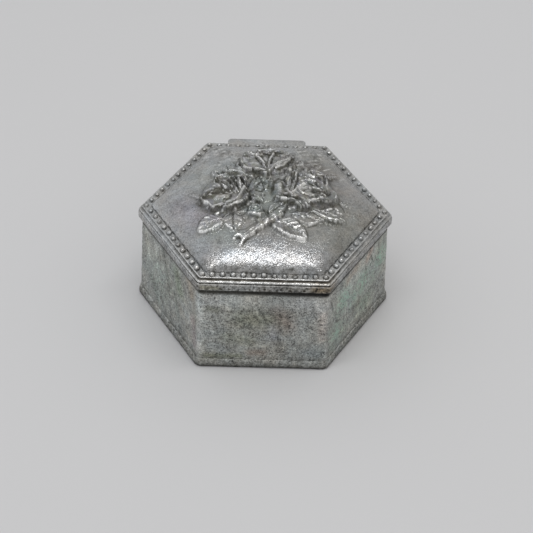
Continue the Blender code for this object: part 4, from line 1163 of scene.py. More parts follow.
def wool_felt(colours):
    """Pressed wool felt: matte, with tangled fibres and a soft sheen at grazing angles."""
    noise = {"Scale": 1 / (0.35 * mm), "Detail": 5, "Roughness": 0.75, "Distortion": 2.5}
    shading = {"Roughness": 0.95, "Sheen Weight": 0.35, "Sheen Roughness": 0.5}
    bump = (0.8, 0.12 * mm)
    return patterned("pressed_wool_felt", colours.felt, 0.45, 1.35, (0.3, 0.72), noise, shading, bump)


def paper_sheet(colours):
    """Matte paper sheet of the floor: flat and pale, with a faint cloudiness."""
    noise = {"Scale": 1 / (60 * mm), "Detail": 2}
    shading = {"Roughness": 0.9, "Specular IOR Level": 0.1}
    return patterned("matte_paper_sheet", colours.floor, 0.985, 1, (0, 1), noise, shading)


def lid_material(scene):
    """The lid's rubbed white metal, made once and shared by its pieces."""
    name = "rubbed_white_metal"
    colours = scene.keepsake_colours
    tones = (0.9, 0.5, 0.6, 1.1, 0.15)
    found = bpy.data.materials.get(name)
    return found or cast_white_metal(name, colours.lid_metal, colours, 0.19, tones, 0.06 * mm, 0.7)


def wall_material(scene):
    """The dull white metal of the walls and the foot, with verdigris, made once and shared by its pieces."""
    name = "dull_white_metal"
    colours = scene.keepsake_colours
    tones = (1.2, 1.2, 1.3, 2.2, 0.6)
    found = bpy.data.materials.get(name)
    return found or cast_white_metal(name, colours.wall_metal, colours, 0.50, tones, 0.14 * mm, 1.0, True)


# The pieces


def dome_grid(rings, apothem):
    """Points of the dome seen from above, their shares of its reach, and the faces and edges between them."""
    flat, faces = hexagon_lattice(rings)
    turns = np.arctan2(flat[:, 1], flat[:, 0])
    sharp_reach = hexagon_reach(turns, np.cos(sixth / 2), least_share)
    shares = np.hypot(flat[:, 0], flat[:, 1]) / sharp_reach * lattice_share
    edge_size = 6 * rings
    edge_start = len(flat) - edge_size
    edge_turns = turns[edge_start:]
    for share in foot_shares:
        shares = np.concatenate((shares, np.full(edge_size, share)))
        turns = np.concatenate((turns, edge_turns))
    quads = strip_faces(len(foot_shares) + 1, edge_size, edge_start)
    held = np.maximum(shares, least_share)
    reach = hexagon_reach(turns, apothem * held, dome_corner(held, apothem))
    edges = np.concatenate((mesh_edges(faces), mesh_edges(quads)))
    return reach * np.cos(turns), reach * np.sin(turns), shares, faces, quads, edges, edge_turns


class KEEPSAKE_OT_lid_dome(bpy.types.Operator):
    """Dome of the lid with the rose spray in relief, and its hollow underside"""

    bl_idname = "keepsake.lid_dome"
    bl_label = "Lid dome with rose spray"

    def execute(self, context):
        sizes = context.scene.keepsake_sizes
        apothem = sizes.lid_across_flats / 2 - sizes.dome_inset
        x, y, shares, faces, quads, edges, edge_turns = dome_grid(sizes.lattice_rings, apothem)
        spacing = apothem * lattice_share / sizes.lattice_rings
        base = dome_height(shares, ledge, sizes.dome_rise)
        places = np.stack((x, y, base), 1)
        ahead = -y / apothem

        # the spray, rough like its mould, and calmed where its sides are too steep for the points
        relief = lay_spray(x, y, apothem, sizes.dome_rise)
        raised = relief.height * mm * sizes.relief_strength
        carved = np.stack((x, y, base + raised), 1)
        lumps = ripples(carved, (0.45, 0.24, 5, 30), (0.45, 0.5, 6, 24), (0.4, 1.0, 7, 24))
        raised += lumps * ramp(raised, 0, 0.4 * mm) * 0.07 * mm
        raised = (raised * 2 + neighbour_mean(raised, edges, 1)) / 3
        calm = np.clip((steepness(raised, edges, spacing) - 1.2) / 1.5, 0, 0.8)
        raised += (neighbour_mean(raised, edges, 4) - raised) * calm
        mottle = ripples(carved, (0.6, 0.3, 9, 36), (0.7, 0.9, 19, 24))
        far = np.clip(-ahead * 2 - 0.3, 0, 1) * np.clip(ripple(places, 3, 29) + 0.6, 0, 1)
        uneven = ripples(places, (0.12, 0.8, 3, 20), (0.35, 2.0, 8), (0.7, 4.5, 4)) + mottle * far * 0.6
        height = base + raised + uneven * sizes.casting_roughness * ramp(1 - shares, 0, 0.03)

        # tarnish and painted shade in the hollows, painted shade on steep sides, along the slits and at the
        # dome's foot, most in front, tarnish in the spray, and in specks in front and at the back
        hollow = neighbour_mean(raised, edges, 5) - raised
        wide_hollow = neighbour_mean(raised, edges, 40) - raised
        steep = steepness(raised, edges, spacing)
        spray = ramp(neighbour_mean(raised, edges, 90), 0, 0.9 * mm)
        tarnish_and_shade = ramp(hollow, 0, 0.10 * mm) * 0.25 + ramp(wide_hollow, 0, 0.45 * mm) * 0.40
        tarnish_and_shade += ramp(steep, 0.9, 1.8) * 0.45 + spray * 0.42 + relief.painted_shade * 0.85
        speckle = ripple(carved, 0.2, 27, 40) * spray
        tarnish_and_shade = np.clip(tarnish_and_shade, 0, 0.95) * np.clip(0.88 + (mottle + speckle) * 0.32, 0.1, 1.2)
        tarnish_and_shade = np.maximum(tarnish_and_shade, relief.painted_shade * 0.95)
        tarnish_and_shade *= 1 - 0.3 * ramp(-y / mm, 8, 3) * (raised > 0.1 * mm)
        tarnish_and_shade += np.clip(mottle * 1.1 - 0.05, 0, 0.6) * far
        front_foot_shade = ramp(shares, 0.925, 0.03) * np.clip(ahead * 3 - 1.8, 0, 1)
        tarnish_and_shade += front_foot_shade * np.clip(0.32 + mottle * 0.4, 0, 0.8)
        specks = np.clip(ripple(carved, 0.22, 57, 40) * 2.2 - 1.4, 0, 0.8)
        tarnish_and_shade += specks * np.clip(ahead * 2.4 - 1.1, 0, 1)
        tarnish_and_shade = np.clip(np.maximum(tarnish_and_shade, ramp(shares, 0.99, 0.01) * 0.2), 0, 1) * (1 - relief.painted_highlight)

        # wear on high places, and painted highlights with wear on the edges that the photograph shows bright
        wear_and_glint = ramp(-hollow, 0.04 * mm, 0.10 * mm) * np.clip(1.4 - steep / 2.5, 0, 1) * 0.6
        wear_and_glint *= np.clip(0.3 - mottle, 0, 1)
        wear_and_glint = np.maximum(wear_and_glint, relief.painted_highlight * np.clip(1.1 - mottle * 0.6, 0.3, 1))
        wear_and_glint = np.maximum(wear_and_glint, np.clip(-mottle - 0.2, 0, 0.4) * far)
        tint = tint_along_lines(places, dome_stains_and_highlight_tint)
        tint[:, 0] *= 1 + ripple(carved, 1.0, 47, 20) * spray * 0.04
        tint[:, 2] *= 1 + ripple(carved, 0.8, 48, 20) * spray * 0.09

        # the underside, from the foot inwards to the lip and up into the hollow
        inner = sizes.lid_across_flats / 2 - lip_inset
        foot_level = ledge - 0.25 * mm
        under = [(apothem, foot_level, 1.6 * mm), (inner + 0.3 * mm, foot_level, 0.9 * mm)]
        rise = ledge + sizes.dome_rise - sizes.dome_thickness - cove_top
        for share in (1.0, 0.985, 0.96, 0.92, 0.86, 0.76, 0.62, 0.45, 0.25, 0.08):
            level = dome_height(share, cove_top, rise)
            under.append((inner * share, level, dome_corner(share, inner, 0.9 * mm)))
        outside = np.stack((x, y, height), 1)
        points = np.concatenate((outside, loft_points(under, edge_turns), [[0, 0, cove_top + rise]]))
        edge_size = len(edge_turns)
        crown = len(points) - 1
        joins = strip_faces(len(under) + 1, edge_size, len(x) - edge_size)
        cap = cap_faces(crown - edge_size, edge_size, crown)
        all_faces = faces.tolist() + quads.tolist() + joins.tolist() + cap.tolist()
        inside = len(points) - len(x)
        marks = {
            "tarnish_and_shade": np.concatenate((tarnish_and_shade, np.full(inside, 0.25))),
            "wear_and_glint": np.concatenate((wear_and_glint, np.zeros(inside))),
            "tint_and_painted_light": np.concatenate((tint, np.ones((inside, 3)))),
        }
        metal = lid_material(context.scene)
        make_piece("lid_dome", points, all_faces, metal, "box_lid", ("lid",), marks)
        return {"FINISHED"}


class KEEPSAKE_OT_lid_rim(bpy.types.Operator):
    """Rim of the lid: band, groove, roll, cove and ledge outside, locating lip inside"""

    bl_idname = "keepsake.lid_rim"
    bl_label = "Lid rim"

    def execute(self, context):
        sizes = context.scene.keepsake_sizes
        edge = sizes.lid_across_flats / 2
        turns = ring_turns(side_steps=170, corner_steps=10)
        profile = [(edge - inset * mm, height * mm, 0.9 * mm) for inset, height, _, _ in rim_outline]
        flat = loft_points(profile, turns)
        outward = outward_ways(flat)
        inset, height, tarnish_and_shade, wear_and_glint = (np.repeat(values, len(turns)) for values in zip(*rim_outline))
        front = frontness(flat, edge)

        # the groove is filled up away from the front, and the outside is rough like its mould; levels in mm
        band_high, ledge_low, underside = 25.15, 26.65, 23.42
        groove = (inset < 1) & (height > 25.2) & (height < 26.5)
        filled = groove * (1 - front) * np.clip(0.35 + ripple(flat, 1.6, 15) * 0.5, 0, 0.8)
        shallow = np.maximum(inset - 0.45 + (25.9 - height) * 0.3, 0) * filled
        fine = ripples(flat, (0.45, 0.30, 16, 30), (0.45, 0.6, 14, 24))
        uneven = fine + ripples(flat, (0.5, 1.3, 11), (0.8, 5, 12))
        outer = (inset < 2.5) & (height > underside)
        on_ledge = outer & (height > ledge_low)
        flat[:, :2] += outward * (uneven * outer * sizes.casting_roughness * 0.8 + shallow * mm)[:, None]
        flat[:, 2] += (fine + ripple(flat, 1.1, 17) * 0.5) * on_ledge * sizes.casting_roughness * 0.7

        # tarnish and painted shade in the grooves, stronger in front, tarnish in spots, painted shade round
        # the beads, and wear on the mouldings in front
        patchy = ripple(flat, 1.4, 13, 24)
        spotty = ripple(flat, 0.5, 18, 30)
        tarnish_and_shade = tarnish_and_shade * np.clip(0.45 + front * 0.55 - patchy * 0.3, 0.1, 1.2) * (1 - filled)
        tarnish_and_shade += np.clip(spotty * 1.2 - 0.45, 0, 0.8) * outer * (0.25 + 0.75 * front)
        # painted shade on the ledge round each bead, stronger in front
        near = np.ones(len(flat))
        ledge_points = np.flatnonzero((inset < 2.7) & (height > ledge_low))
        for place in bead_places(sizes):
            gap = np.linalg.norm(flat[ledge_points, :2] - place, axis=1)
            near[ledge_points] = np.minimum(near[ledge_points], gap)
        bead_shade = np.exp(-((np.maximum(near - sizes.bead_radius * 0.98, 0) / (0.17 * mm)) ** 2))
        tarnish_and_shade = np.clip(np.maximum(tarnish_and_shade, bead_shade * (0.4 + 0.6 * front)), 0, 1)
        wear_and_glint = wear_and_glint * np.clip(0.20 + front * 0.34, 0, 1) * (1 - bead_shade)
        wear_and_glint *= np.clip(0.75 + patchy * 0.5 + spotty * 0.5, 0.1, 1)

        # tone, strongest on the band, and painted shade in the front grooves, heavier to the right
        band = outer & (height < band_high)
        mottle = ripples(flat, (0.7, 0.28, 43, 30), (0.30, 0.8, 44, 24), (0.25, 2.6, 45))
        tint = tint_along_lines(flat, rim_stains) * (1 + mottle * (0.25 + 0.75 * band) * outer)[:, None]
        front_groove_shade = np.clip(tarnish_and_shade - 0.5, 0, 0.5) * outer * front * np.clip(0.7 + flat[:, 0] / edge * 0.6, 0, 1)
        tint = tint * (1 - front_groove_shade[:, None] * (1.0, 1.1, 1.2))
        marks = {"tarnish_and_shade": tarnish_and_shade, "wear_and_glint": wear_and_glint, "tint_and_painted_light": np.clip(tint, 0.1, 2)}
        faces = strip_faces(len(rim_outline), len(turns), closed=True)
        metal = lid_material(context.scene)
        make_piece("lid_rim", flat, faces, metal, "box_lid", ("lid",), marks)
        return {"FINISHED"}


class KEEPSAKE_OT_bead_row(bpy.types.Operator):
    """Row of cast beads along the ledge of the lid, one of them on each corner"""

    bl_idname = "keepsake.bead_row"
    bl_label = "Bead row"

    def execute(self, context):
        sizes = context.scene.keepsake_sizes
        tree = bpy.data.node_groups.new("bead_row", "GeometryNodeTree")
        tree.interface.new_socket("Geometry", in_out="OUTPUT", socket_type="NodeSocketGeometry")
        wanted = {
            "Corner radius": ("NodeSocketFloat", bead_corner_reach(sizes)),
            "Ledge height": ("NodeSocketFloat", ledge + 0.12 * mm),
            "Beads per side": ("NodeSocketInt", sizes.beads_per_side),
            "Bead radius": ("NodeSocketFloat", sizes.bead_radius),
            "Size spread": ("NodeSocketFloat", 0.12),
            "Place spread": ("NodeSocketFloat", 0.10 * mm),
            "Seed": ("NodeSocketInt", 7),
            "Metal": ("NodeSocketMaterial", lid_material(context.scene)),
        }
        keys = {}
        for name, (kind, _) in wanted.items():
            keys[name] = tree.interface.new_socket(name, in_out="INPUT", socket_type=kind).identifier
        given = node(tree, "NodeGroupInput").outputs
        seed = given["Seed"]
        hexagon = node(tree, "GeometryNodeMeshCircle", {"Vertices": 6, "Radius": given["Corner radius"]})
        path = node(tree, "GeometryNodeMeshToCurve", {"Mesh": hexagon.outputs[0]})
        count = node(tree, "ShaderNodeMath", {0: given["Beads per side"], 1: 6.0}, operation="MULTIPLY")
        spots = node(tree, "GeometryNodeResampleCurve", {"Curve": path.outputs[0], "Count": count.outputs[0]})
        shifts = []
        sizes_wanted = []
        for sign, operation in ((-1, "SUBTRACT"), (1, "ADD")):
            way = {0: (sign, sign, sign), "Scale": given["Place spread"]}
            shifts.append(node(tree, "ShaderNodeVectorMath", way, operation="SCALE").outputs[0])
            spread = {0: 1.0, 1: given["Size spread"]}
            sizes_wanted.append(node(tree, "ShaderNodeMath", spread, operation=operation).outputs[0])
        chance = {"Min": shifts[0], "Max": shifts[1], "Seed": seed}
        stray = node(tree, "FunctionNodeRandomValue", chance, data_type="FLOAT_VECTOR")
        lift = node(tree, "ShaderNodeCombineXYZ", {"Z": given["Ledge height"]})
        shift = node(tree, "ShaderNodeVectorMath", {0: stray.outputs[0], 1: lift.outputs[0]}, operation="ADD")
        moved = {"Geometry": spots.outputs[0], "Offset": shift.outputs[0]}
        placed = node(tree, "GeometryNodeSetPosition", moved)
        ball = {"Segments": 18, "Rings": 11, "Radius": given["Bead radius"]}
        bead = node(tree, "GeometryNodeMeshUVSphere", ball)
        chance = {2: sizes_wanted[0], 3: sizes_wanted[1], "Seed": seed}
        scale = node(tree, "FunctionNodeRandomValue", chance, data_type="FLOAT")
        strewn = {"Points": placed.outputs[0], "Instance": bead.outputs[0], "Scale": scale.outputs[1]}
        beads = node(tree, "GeometryNodeInstanceOnPoints", strewn)
        whole = node(tree, "GeometryNodeRealizeInstances", {0: beads.outputs[0]})
        coat = {"Geometry": whole.outputs[0], "Material": given["Metal"]}
        painted = node(tree, "GeometryNodeSetMaterial", coat)
        node(tree, "NodeGroupOutput", {0: painted.outputs[0]})

        holder = bpy.data.objects.new("bead_row_maker", bpy.data.meshes.new("bead_row_maker"))
        context.scene.collection.objects.link(holder)
        change = holder.modifiers.new("beads", "NODES")
        change.node_group = tree
        for name, (_, value) in wanted.items():
            change[keys[name]] = value
        context.view_layer.update()
        mesh = bpy.data.meshes.new_from_object(holder.evaluated_get(context.evaluated_depsgraph_get()))
        bpy.data.objects.remove(holder, do_unlink=True)
        bead_count = 6 * sizes.beads_per_side
        if len(mesh.vertices) < bead_count:
            raise RuntimeError("the bead row came out empty")

        # the beads are smaller and lower away from the front, and rubbed down on its right half
        front_line, front_middle, worn_down = -23.2 * mm, 0.5 * mm, 0.44 * mm
        mesh.name = "lid_bead_row"
        places = np.zeros(len(mesh.vertices) * 3)
        mesh.vertices.foreach_get("co", places)
        places = places.reshape(-1, 3)
        by_bead = places.reshape(bead_count, -1, 3)
        middles = by_bead.mean(1, keepdims=True)
        away = ramp(middles[..., 1:2] / mm, -23.5, 26) ** 0.8
        by_bead[:] = middles + (by_bead - middles) * (1 - 0.20 * away) - (0, 0, 0.10 * mm) * away
        worn_away = ramp(places[:, 0], front_middle, 4 * mm) * (places[:, 1] < front_line)
        patchy = np.clip(0.6 + ripple(places, 1.7, 51), 0, 1)
        places[:, 2] -= worn_away * patchy * worn_down
        places += np.stack([ripple(places, 0.45, seed) for seed in (52, 53, 54)], 1) * 0.05 * mm
        mesh.vertices.foreach_set("co", places.ravel())
        # painted shade round each bead's foot, stronger in front, and wear with a painted highlight on its
        # top
        height = (places[:, 2] - ledge) / sizes.bead_radius
        front = frontness(places, sizes.lid_across_flats / 2)
        keep_mark(mesh, "tarnish_and_shade", np.clip(0.95 - height * 1.9, 0, 1) * (0.45 + 0.55 * front))
        keep_mark(mesh, "wear_and_glint", np.clip((height - 0.75) * 1.4, 0, 0.5) * (1 - worn_away * 0.5))
        keep_mark(mesh, "tint_and_painted_light", np.ones((len(places), 3)))
        finish_piece("lid_bead_row", mesh, lid_material(context.scene), "box_lid", ("lid",))
        return {"FINISHED"}


class KEEPSAKE_OT_lid_hinge(bpy.types.Operator):
    """Tab behind the lid that covers the hinge, and the two knuckles under it"""

    bl_idname = "keepsake.lid_hinge"
    bl_label = "Lid hinge tab and knuckles"

    def execute(self, context):
        edge = context.scene.keepsake_sizes.lid_across_flats / 2
        inside = edge - 1.0 * mm
        tab = block((-hinge_half, inside, 25.0 * mm), (hinge_half, edge + 2.4 * mm, 25.8 * mm))
        for point in tab.verts:
            if point.co.y < edge and point.co.z > 25.4 * mm:
                point.co.z = 26.62 * mm
        upright = []
        for line in tab.edges:
            one, other = (point.co for point in line.verts)
            if min(one.y, other.y) > edge and one.xy == other.xy:
                upright.append(line)
        soften(tab, upright, 1.2 * mm, 8)
        level = [line for line in tab.edges if line not in upright and abs(line.calc_face_angle(0)) > 0.5]
        made = [soften(tab, level, 0.2 * mm, 3)]
        for side in (-1, 1):
            start, end = sorted((side * 3.3 * mm, side * hinge_half))
            root = block((start, inside, 23.6 * mm), (end, axis_back, 25.4 * mm))
            made += [knuckle(start, end), soften(root, root.edges[:], soft_edge, 3)]
        mesh = gather("lid_hinge_leaf", made)
        keep_mark(mesh, "tint_and_painted_light", np.full((len(mesh.vertices), 3), 1.04))
        finish_piece("lid_hinge_leaf", mesh, lid_material(context.scene), "box_lid", ("lid",))
        return {"FINISHED"}


class KEEPSAKE_OT_wall(bpy.types.Operator):
    """Cast wall band of the box, rough outside and smoother inside"""

    bl_idname = "keepsake.wall"
    bl_label = "Wall band"

    def execute(self, context):
        sizes = context.scene.keepsake_sizes
        edge = sizes.lid_across_flats / 2
        foot = edge - sizes.wall_foot_inset
        top = edge - sizes.wall_top_inset
        wall_height = wall_top - wall_bottom
        outline = [(foot - 0.25 * mm, foot_top + 0.02 * mm), (foot + 0.02 * mm, foot_top + 0.04 * mm)]
        for level in np.linspace(wall_bottom, wall_top - 0.25 * mm, 78):
            outline.append((foot + (top - foot) * (level - wall_bottom) / wall_height, level))
        outline += [(top - 0.06 * mm, wall_top - 0.08 * mm), (top - 0.2 * mm, wall_top)]
        outer_rows = len(outline)
        inner_top = top - sizes.wall_thickness
        inner_foot = foot - sizes.wall_thickness
        outline += [(inner_top + 0.2 * mm, wall_top), (inner_top, wall_top - 0.2 * mm)]
        for share in (*np.linspace(0.95, 0.05, 12), 0):
            outline.append((inner_foot + (inner_top - inner_foot) * share, wall_bottom + wall_height * share))
        turns = ring_turns(side_steps=112, corner_steps=9)
        flat = loft_points([(apothem, height, 1.0 * mm) for apothem, height in outline], turns)
        uneven = ripples(flat, (0.35, 0.38, 26, 40), (0.6, 0.8, 21, 30), (0.6, 2.0, 22, 20), (0.9, 6, 23))
        outside = np.repeat(np.arange(len(outline)) < outer_rows, len(turns)).astype(float)
        calm = 0.25 + 0.75 * ramp(flat[:, 2], foot_top, 1.2 * mm)
        push = uneven * calm * (0.25 + 0.75 * outside) * sizes.casting_roughness
        flat[:, :2] += outward_ways(flat) * push[:, None]

        # verdigris in spots, painted shadow under the lid, and darker just above the foot
        spots = np.zeros(len(flat))
        for x, y, z, radius, strength in verdigris_spots:
            gap = np.linalg.norm(flat / mm - (x, y, z), axis=1) / radius
            spots = np.maximum(spots, strength * np.exp(-(gap**2)))
        lid_shadow = ramp(flat[:, 2], wall_top - 1.80 * mm, 0.9 * mm) ** 1.3 * outside
        low_gloom = ramp(wall_bottom + 0.9 * mm - flat[:, 2], 0, 0.9 * mm) * 0.25 * outside
        tarnish_and_shade = np.clip(lid_shadow + low_gloom + 0.2 * (1 - outside), 0, 1)

        # wear on the corners, and on the lower edge in the middle of the front
        corner_turn, edge_height, front_reach = 0.028, 0.16 * mm, 7.5 * mm
        turn = np.arctan2(flat[:, 1], flat[:, 0]) % sixth
        corner = np.exp(-((np.minimum(turn, sixth - turn) / corner_turn) ** 2))
        corner *= 0.3 * np.clip(0.3 + ripple(flat, 2.2, 25) * 1.1, 0, 1)
        low_edge = np.exp(-(((flat[:, 2] - foot_top - 0.1 * mm) / edge_height) ** 2))
        wear_and_glint_share = np.exp(-((flat[:, 0] / front_reach) ** 4)) * (flat[:, 1] < 0)
        low_edge *= np.clip(wear_and_glint_share + ripple(flat, 5, 27) * 0.8, 0, 1)
        low_edge *= np.clip(0.4 + ripple(flat, 0.5, 28, 30) * 1.2, 0, 1)
        wear_and_glint = np.maximum(corner, low_edge) * outside * (1 - lid_shadow)
        tint = 1 + (tint_along_lines(flat, wall_stains_and_highlights + scratches()) - 1) * outside[:, None]
        # the painted shadow under the lid darkens the tint as well, more to the right
        tint *= (1 - lid_shadow * np.clip(0.6 + flat[:, 0] / edge * 0.6, 0.2, 0.95))[:, None]
        marks = {"verdigris": spots * outside, "tarnish_and_shade": tarnish_and_shade, "wear_and_glint": wear_and_glint, "tint_and_painted_light": tint}
        faces = strip_faces(len(outline), len(turns), closed=True)
        metal = wall_material(context.scene)
        make_piece("wall_casting", flat, faces, metal, "box_body", ("wall_band",), marks)
        return {"FINISHED"}


class KEEPSAKE_OT_body_hinge(bpy.types.Operator):
    """Middle knuckle of the body on its heel, which stops the open lid"""

    bl_idname = "keepsake.body_hinge"
    bl_label = "Body hinge knuckle"

    def execute(self, context):
        sizes = context.scene.keepsake_sizes
        half = 3.0 * mm
        wall_side = sizes.lid_across_flats / 2 - sizes.wall_top_inset - sizes.wall_thickness / 2
        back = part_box("wall_band")[1].y
        heel_bottom = axis_height - 2.0 * mm
        under_pin = 0.9 * mm
        corners = (
            (wall_side, axis_height - under_pin),
            (wall_side, heel_bottom - 2.2 * mm),
            (back, heel_bottom),
            (back, axis_height),
            (axis_back - under_pin, axis_height),
            (axis_back - under_pin, axis_height - under_pin),
        )
        heel = bmesh.new()
        left, right = ([heel.verts.new((side * half, y, z)) for y, z in corners] for side in (-1, 1))
        heel.faces.new(left)
        heel.faces.new(right[::-1])
        for index in range(len(corners)):
            after = (index + 1) % len(corners)
            heel.faces.new((left[index], right[index], right[after], left[after]))
        bmesh.ops.recalc_face_normals(heel, faces=heel.faces)
        soften(heel, heel.edges[:], soft_edge, 2)
        mesh = gather("body_hinge_knuckle", [knuckle(-half, half), heel])
        keep_mark(mesh, "tint_and_painted_light", np.ones((len(mesh.vertices), 3)))
        metal = wall_material(context.scene)
        finish_piece("body_hinge_knuckle", mesh, metal, "box_body", ("wall_band",))
        return {"FINISHED"}


class KEEPSAKE_OT_base(bpy.types.Operator):
    """Base plate with the low rounded foot and the pocket for the lining"""

    bl_idname = "keepsake.base"
    bl_label = "Base plate"

    def execute(self, context):
        sizes = context.scene.keepsake_sizes
        edge = sizes.lid_across_flats / 2
        foot = edge + sizes.foot_overhang
        spigot = edge - sizes.wall_foot_inset - sizes.wall_thickness - 0.3 * mm
        spigot_top = foot_top + 1.2 * mm
        pocket = spigot - 1.4 * mm
        below = [(0.02 * spigot, 0, 0.1 * mm), (0.5 * spigot, 0, 3 * mm)]
        rounded = [(foot + out * mm, height * mm, corner * mm) for out, height, corner, _, _ in foot_outline]
        above = [
            (spigot + 0.05 * mm, foot_top, 0.9 * mm),
            (spigot, foot_top + 0.1 * mm, 0.9 * mm),
            (spigot, spigot_top - 0.1 * mm, 0.9 * mm),
            (spigot - 0.1 * mm, spigot_top, 0.9 * mm),
            (pocket + 0.1 * mm, spigot_top, 1.2 * mm),
            (pocket, spigot_top - 0.1 * mm, 1.2 * mm),
            (pocket, floor_top + 0.05 * mm, 1.2 * mm),
            (pocket - 0.05 * mm, floor_top, 1.2 * mm),
            (0.5 * spigot, floor_top, 3 * mm),
            (0.02 * spigot, floor_top, 0.1 * mm),
        ]
        turns = ring_turns(side_steps=112, corner_steps=14, corner_degrees=3.2)
        count = len(turns)
        profile = below + rounded + above
        flat = loft_points(profile, turns)
        outward = outward_ways(flat)
        rows = np.arange(len(profile))
        outside = np.repeat((rows > 3) & (rows < len(below + rounded)), count).astype(float)
        uneven = ripples(flat, (0.4, 0.38, 35, 30), (0.6, 0.9, 31), (0.9, 3.5, 32))
        flat[:, :2] += outward * (uneven * outside * sizes.casting_roughness * 0.6)[:, None]
        flat[:, 2] += ripple(flat, 1.8, 33) * outside * sizes.casting_roughness * 0.3
        flat[:, 2] = np.maximum(flat[:, 2], 0)
        patchy = np.clip(ripples(flat, (0.8, 2.5, 34), (0.8, 0.6, 37, 30)), 0, 1)
        spotty = np.clip(ripple(flat, 0.45, 36, 30) * 0.35, -0.15, 0.35)
        flat = np.concatenate((flat, ((0, 0, 0), (0, 0, floor_top))))
        inner_tarnish = 0.5
        tarnish_and_shade_tone = [inner_tarnish] * 2 + [row[3] for row in foot_outline] + [inner_tarnish] * len(above)
        wear = [0] * 2 + [row[4] for row in foot_outline] + [0] * len(above)
        ends = (inner_tarnish, inner_tarnish)
        low_shade = 0.5 * ramp(1.3 * mm - flat[:, 2:], 0, 1.1 * mm)
        marks = {
            "tarnish_and_shade": np.clip(np.concatenate((np.repeat(tarnish_and_shade_tone, count) + spotty, ends)), 0, 1),
            "wear_and_glint": np.concatenate((np.repeat(wear, count) * patchy, (0, 0))),
            "tint_and_painted_light": tint_along_lines(flat, wall_stains_and_highlights) * (1 - low_shade),
        }
        faces = capped_faces(len(profile), count)
        metal = wall_material(context.scene)
        make_piece("base_casting", flat, faces, metal, "box_body", ("base_plate",), marks)
        return {"FINISHED"}


class KEEPSAKE_OT_lining(bpy.types.Operator):
    """Felt lining laid in the pocket of the floor"""

    bl_idname = "keepsake.lining"
    bl_label = "Felt lining"

    def execute(self, context):
        sizes = context.scene.keepsake_sizes
        low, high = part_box("floor_lining")
        across = high.y - low.y
        apothem = across / 2
        top = low.z + sizes.felt_thickness
        profile = [
            (0.02 * apothem, low.z, 0.1 * mm),
            (0.5 * apothem, low.z, 3 * mm),
            (apothem - 0.15 * mm, low.z, 1.2 * mm),
            (apothem, low.z + 0.15 * mm, 1.2 * mm),
            (apothem, top - 0.3 * mm, 1.2 * mm),
            (apothem - 0.1 * mm, top - 0.1 * mm, 1.2 * mm),
        ]
        side_rows = len(profile)
        profile.append((apothem - 0.3 * mm, top, 1.3 * mm))
        for share in np.linspace(0.97, 0.04, 44):
            profile.append((apothem * share, top, 1.3 * mm + apothem * (1 - share) * 0.8))
        turns = ring_turns(side_steps=40, corner_steps=8, corner_degrees=3)
        flat = loft_points(profile, turns)
        upper = np.repeat(np.arange(len(profile)) >= side_rows, len(turns))
        flat[:, 2] -= np.abs(ripples(flat, (0.5, 0.7, 41), (1, 3, 42))) * upper * 0.07 * mm
        flat = np.concatenate((flat, ((0, 0, low.z), (0, 0, top - 0.05 * mm))))
        faces = capped_faces(len(profile), len(turns))
        cloth = wool_felt(context.scene.keepsake_colours)
        felt = make_piece("felt_lining", flat, faces, cloth, "box_body", ("floor_lining",))
        return {"FINISHED"}


class KEEPSAKE_OT_hinge_pin(bpy.types.Operator):
    """Finish of the hinge pin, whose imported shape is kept"""

    bl_idname = "keepsake.hinge_pin"
    bl_label = "Hinge pin finish"

    def execute(self, context):
        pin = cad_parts["hinge_pin"]
        pin.data.materials.clear()
        pin.data.materials.append(drawn_steel(context.scene.keepsake_colours))
        return {"FINISHED"}


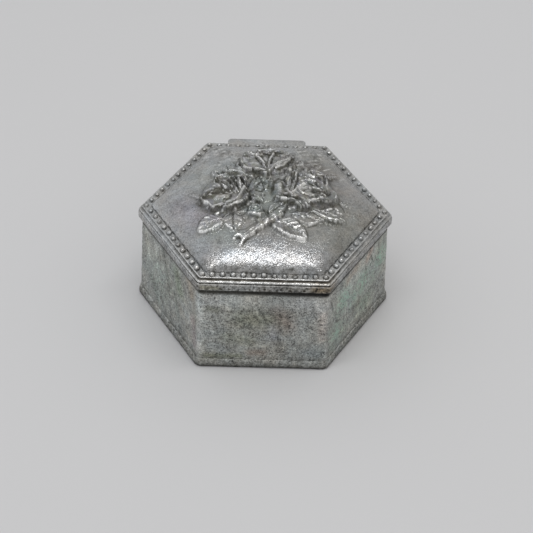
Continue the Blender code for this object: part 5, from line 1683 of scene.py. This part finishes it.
class KEEPSAKE_OT_stage(bpy.types.Operator):
    """Pale sheet under the box, soft studio light and the camera"""

    bl_idname = "keepsake.stage"
    bl_label = "Stage, light and camera"

    def execute(self, context):
        scene = context.scene
        reach = 1.5
        mesh = bpy.data.meshes.new("floor_sheet")
        corners = [(x * reach, y * reach, 0) for x, y in ((-1, -1), (1, -1), (1, 1), (-1, 1))]
        mesh.from_pydata(corners, [], [(0, 1, 2, 3)])
        mesh.materials.append(paper_sheet(scene.keepsake_colours))
        floor = bpy.data.objects.new("floor_sheet", mesh)
        floor.location.z = -0.01 * mm
        scene.collection.objects.link(floor)

        # a soft surrounding light, cooler from the left and warmer from the right
        world = bpy.data.worlds.new("studio")
        world.use_nodes = True
        tree = world.node_tree
        shade = tree.nodes["Background"]
        way = node(tree, "ShaderNodeTexCoord").outputs["Generated"]
        sideways = node(tree, "ShaderNodeSeparateXYZ", {0: way}).outputs[0]
        halved = {0: sideways, 1: 0.5, 2: 0.5}
        share = node(tree, "ShaderNodeMath", halved, operation="MULTIPLY_ADD").outputs[0]
        cool, warm = (1.10, 1.12, 1.15, 1), (0.82, 0.80, 0.77, 1)
        tint = node(tree, "ShaderNodeMix", {0: share, 6: cool, 7: warm}, data_type="RGBA").outputs[2]
        tree.links.new(tint, shade.inputs["Color"])
        shade.inputs["Strength"].default_value = 0.76
        scene.world = world

        # a wide softbox over the box, which points at it; radiance 1 looks white
        place, aim = Vector((0.012, -0.036, 0.46)), Vector((0.004, -0.010, 0.03))
        radiance = 7.6
        lamp = bpy.data.lights.new("overhead_softbox", "AREA")
        lamp.shape = "RECTANGLE"
        lamp.size, lamp.size_y = 0.375, 0.050
        lamp.energy = radiance * np.pi * lamp.size * lamp.size_y
        softbox = bpy.data.objects.new("overhead_softbox", lamp)
        softbox.location = place
        softbox.rotation_euler = (aim - place).to_track_quat("-Z", "Y").to_euler()
        scene.collection.objects.link(softbox)

        lens = bpy.data.cameras.new("photo_view")
        lens.sensor_width = sensor_mm
        lens.lens = lens_mm
        lens.clip_start = 0.02
        lens.clip_end = 10
        camera = bpy.data.objects.new("photo_view", lens)
        axes = Matrix((view_right, view_upward, view_back)).transposed().to_4x4()
        camera.matrix_world = Matrix.Translation(view_place) @ axes
        scene.collection.objects.link(camera)
        scene.camera = camera
        scene.view_settings.view_transform = "Standard"
        return {"FINISHED"}


class KEEPSAKE_PT_panel(bpy.types.Panel):
    """Sizes, colours and pieces of the keepsake box"""

    bl_idname = "KEEPSAKE_PT_panel"
    bl_label = "Keepsake box"
    bl_space_type = "VIEW_3D"
    bl_region_type = "UI"
    bl_category = "Keepsake box"

    def draw(self, context):
        for group in (context.scene.keepsake_sizes, context.scene.keepsake_colours):
            box = self.layout.box()
            for name in group.__annotations__:
                box.prop(group, name)
        for piece in pieces:
            self.layout.operator(piece.bl_idname)


pieces = (
    KEEPSAKE_OT_lid_dome,
    KEEPSAKE_OT_lid_rim,
    KEEPSAKE_OT_bead_row,
    KEEPSAKE_OT_lid_hinge,
    KEEPSAKE_OT_wall,
    KEEPSAKE_OT_body_hinge,
    KEEPSAKE_OT_base,
    KEEPSAKE_OT_lining,
    KEEPSAKE_OT_hinge_pin,
    KEEPSAKE_OT_stage,
)


def register():
    for item in (BoxSizes, BoxColours, *pieces, KEEPSAKE_PT_panel):
        bpy.utils.register_class(item)
    bpy.types.Scene.keepsake_sizes = PointerProperty(type=BoxSizes)
    bpy.types.Scene.keepsake_colours = PointerProperty(type=BoxColours)


def unregister():
    del bpy.types.Scene.keepsake_colours
    del bpy.types.Scene.keepsake_sizes
    for item in (KEEPSAKE_PT_panel, *reversed(pieces), BoxColours, BoxSizes):
        bpy.utils.unregister_class(item)


def main():
    register()
    for piece in pieces:
        group, name = piece.bl_idname.split(".")
        getattr(getattr(bpy.ops, group), name)()


if __name__ == "__main__":
    main()
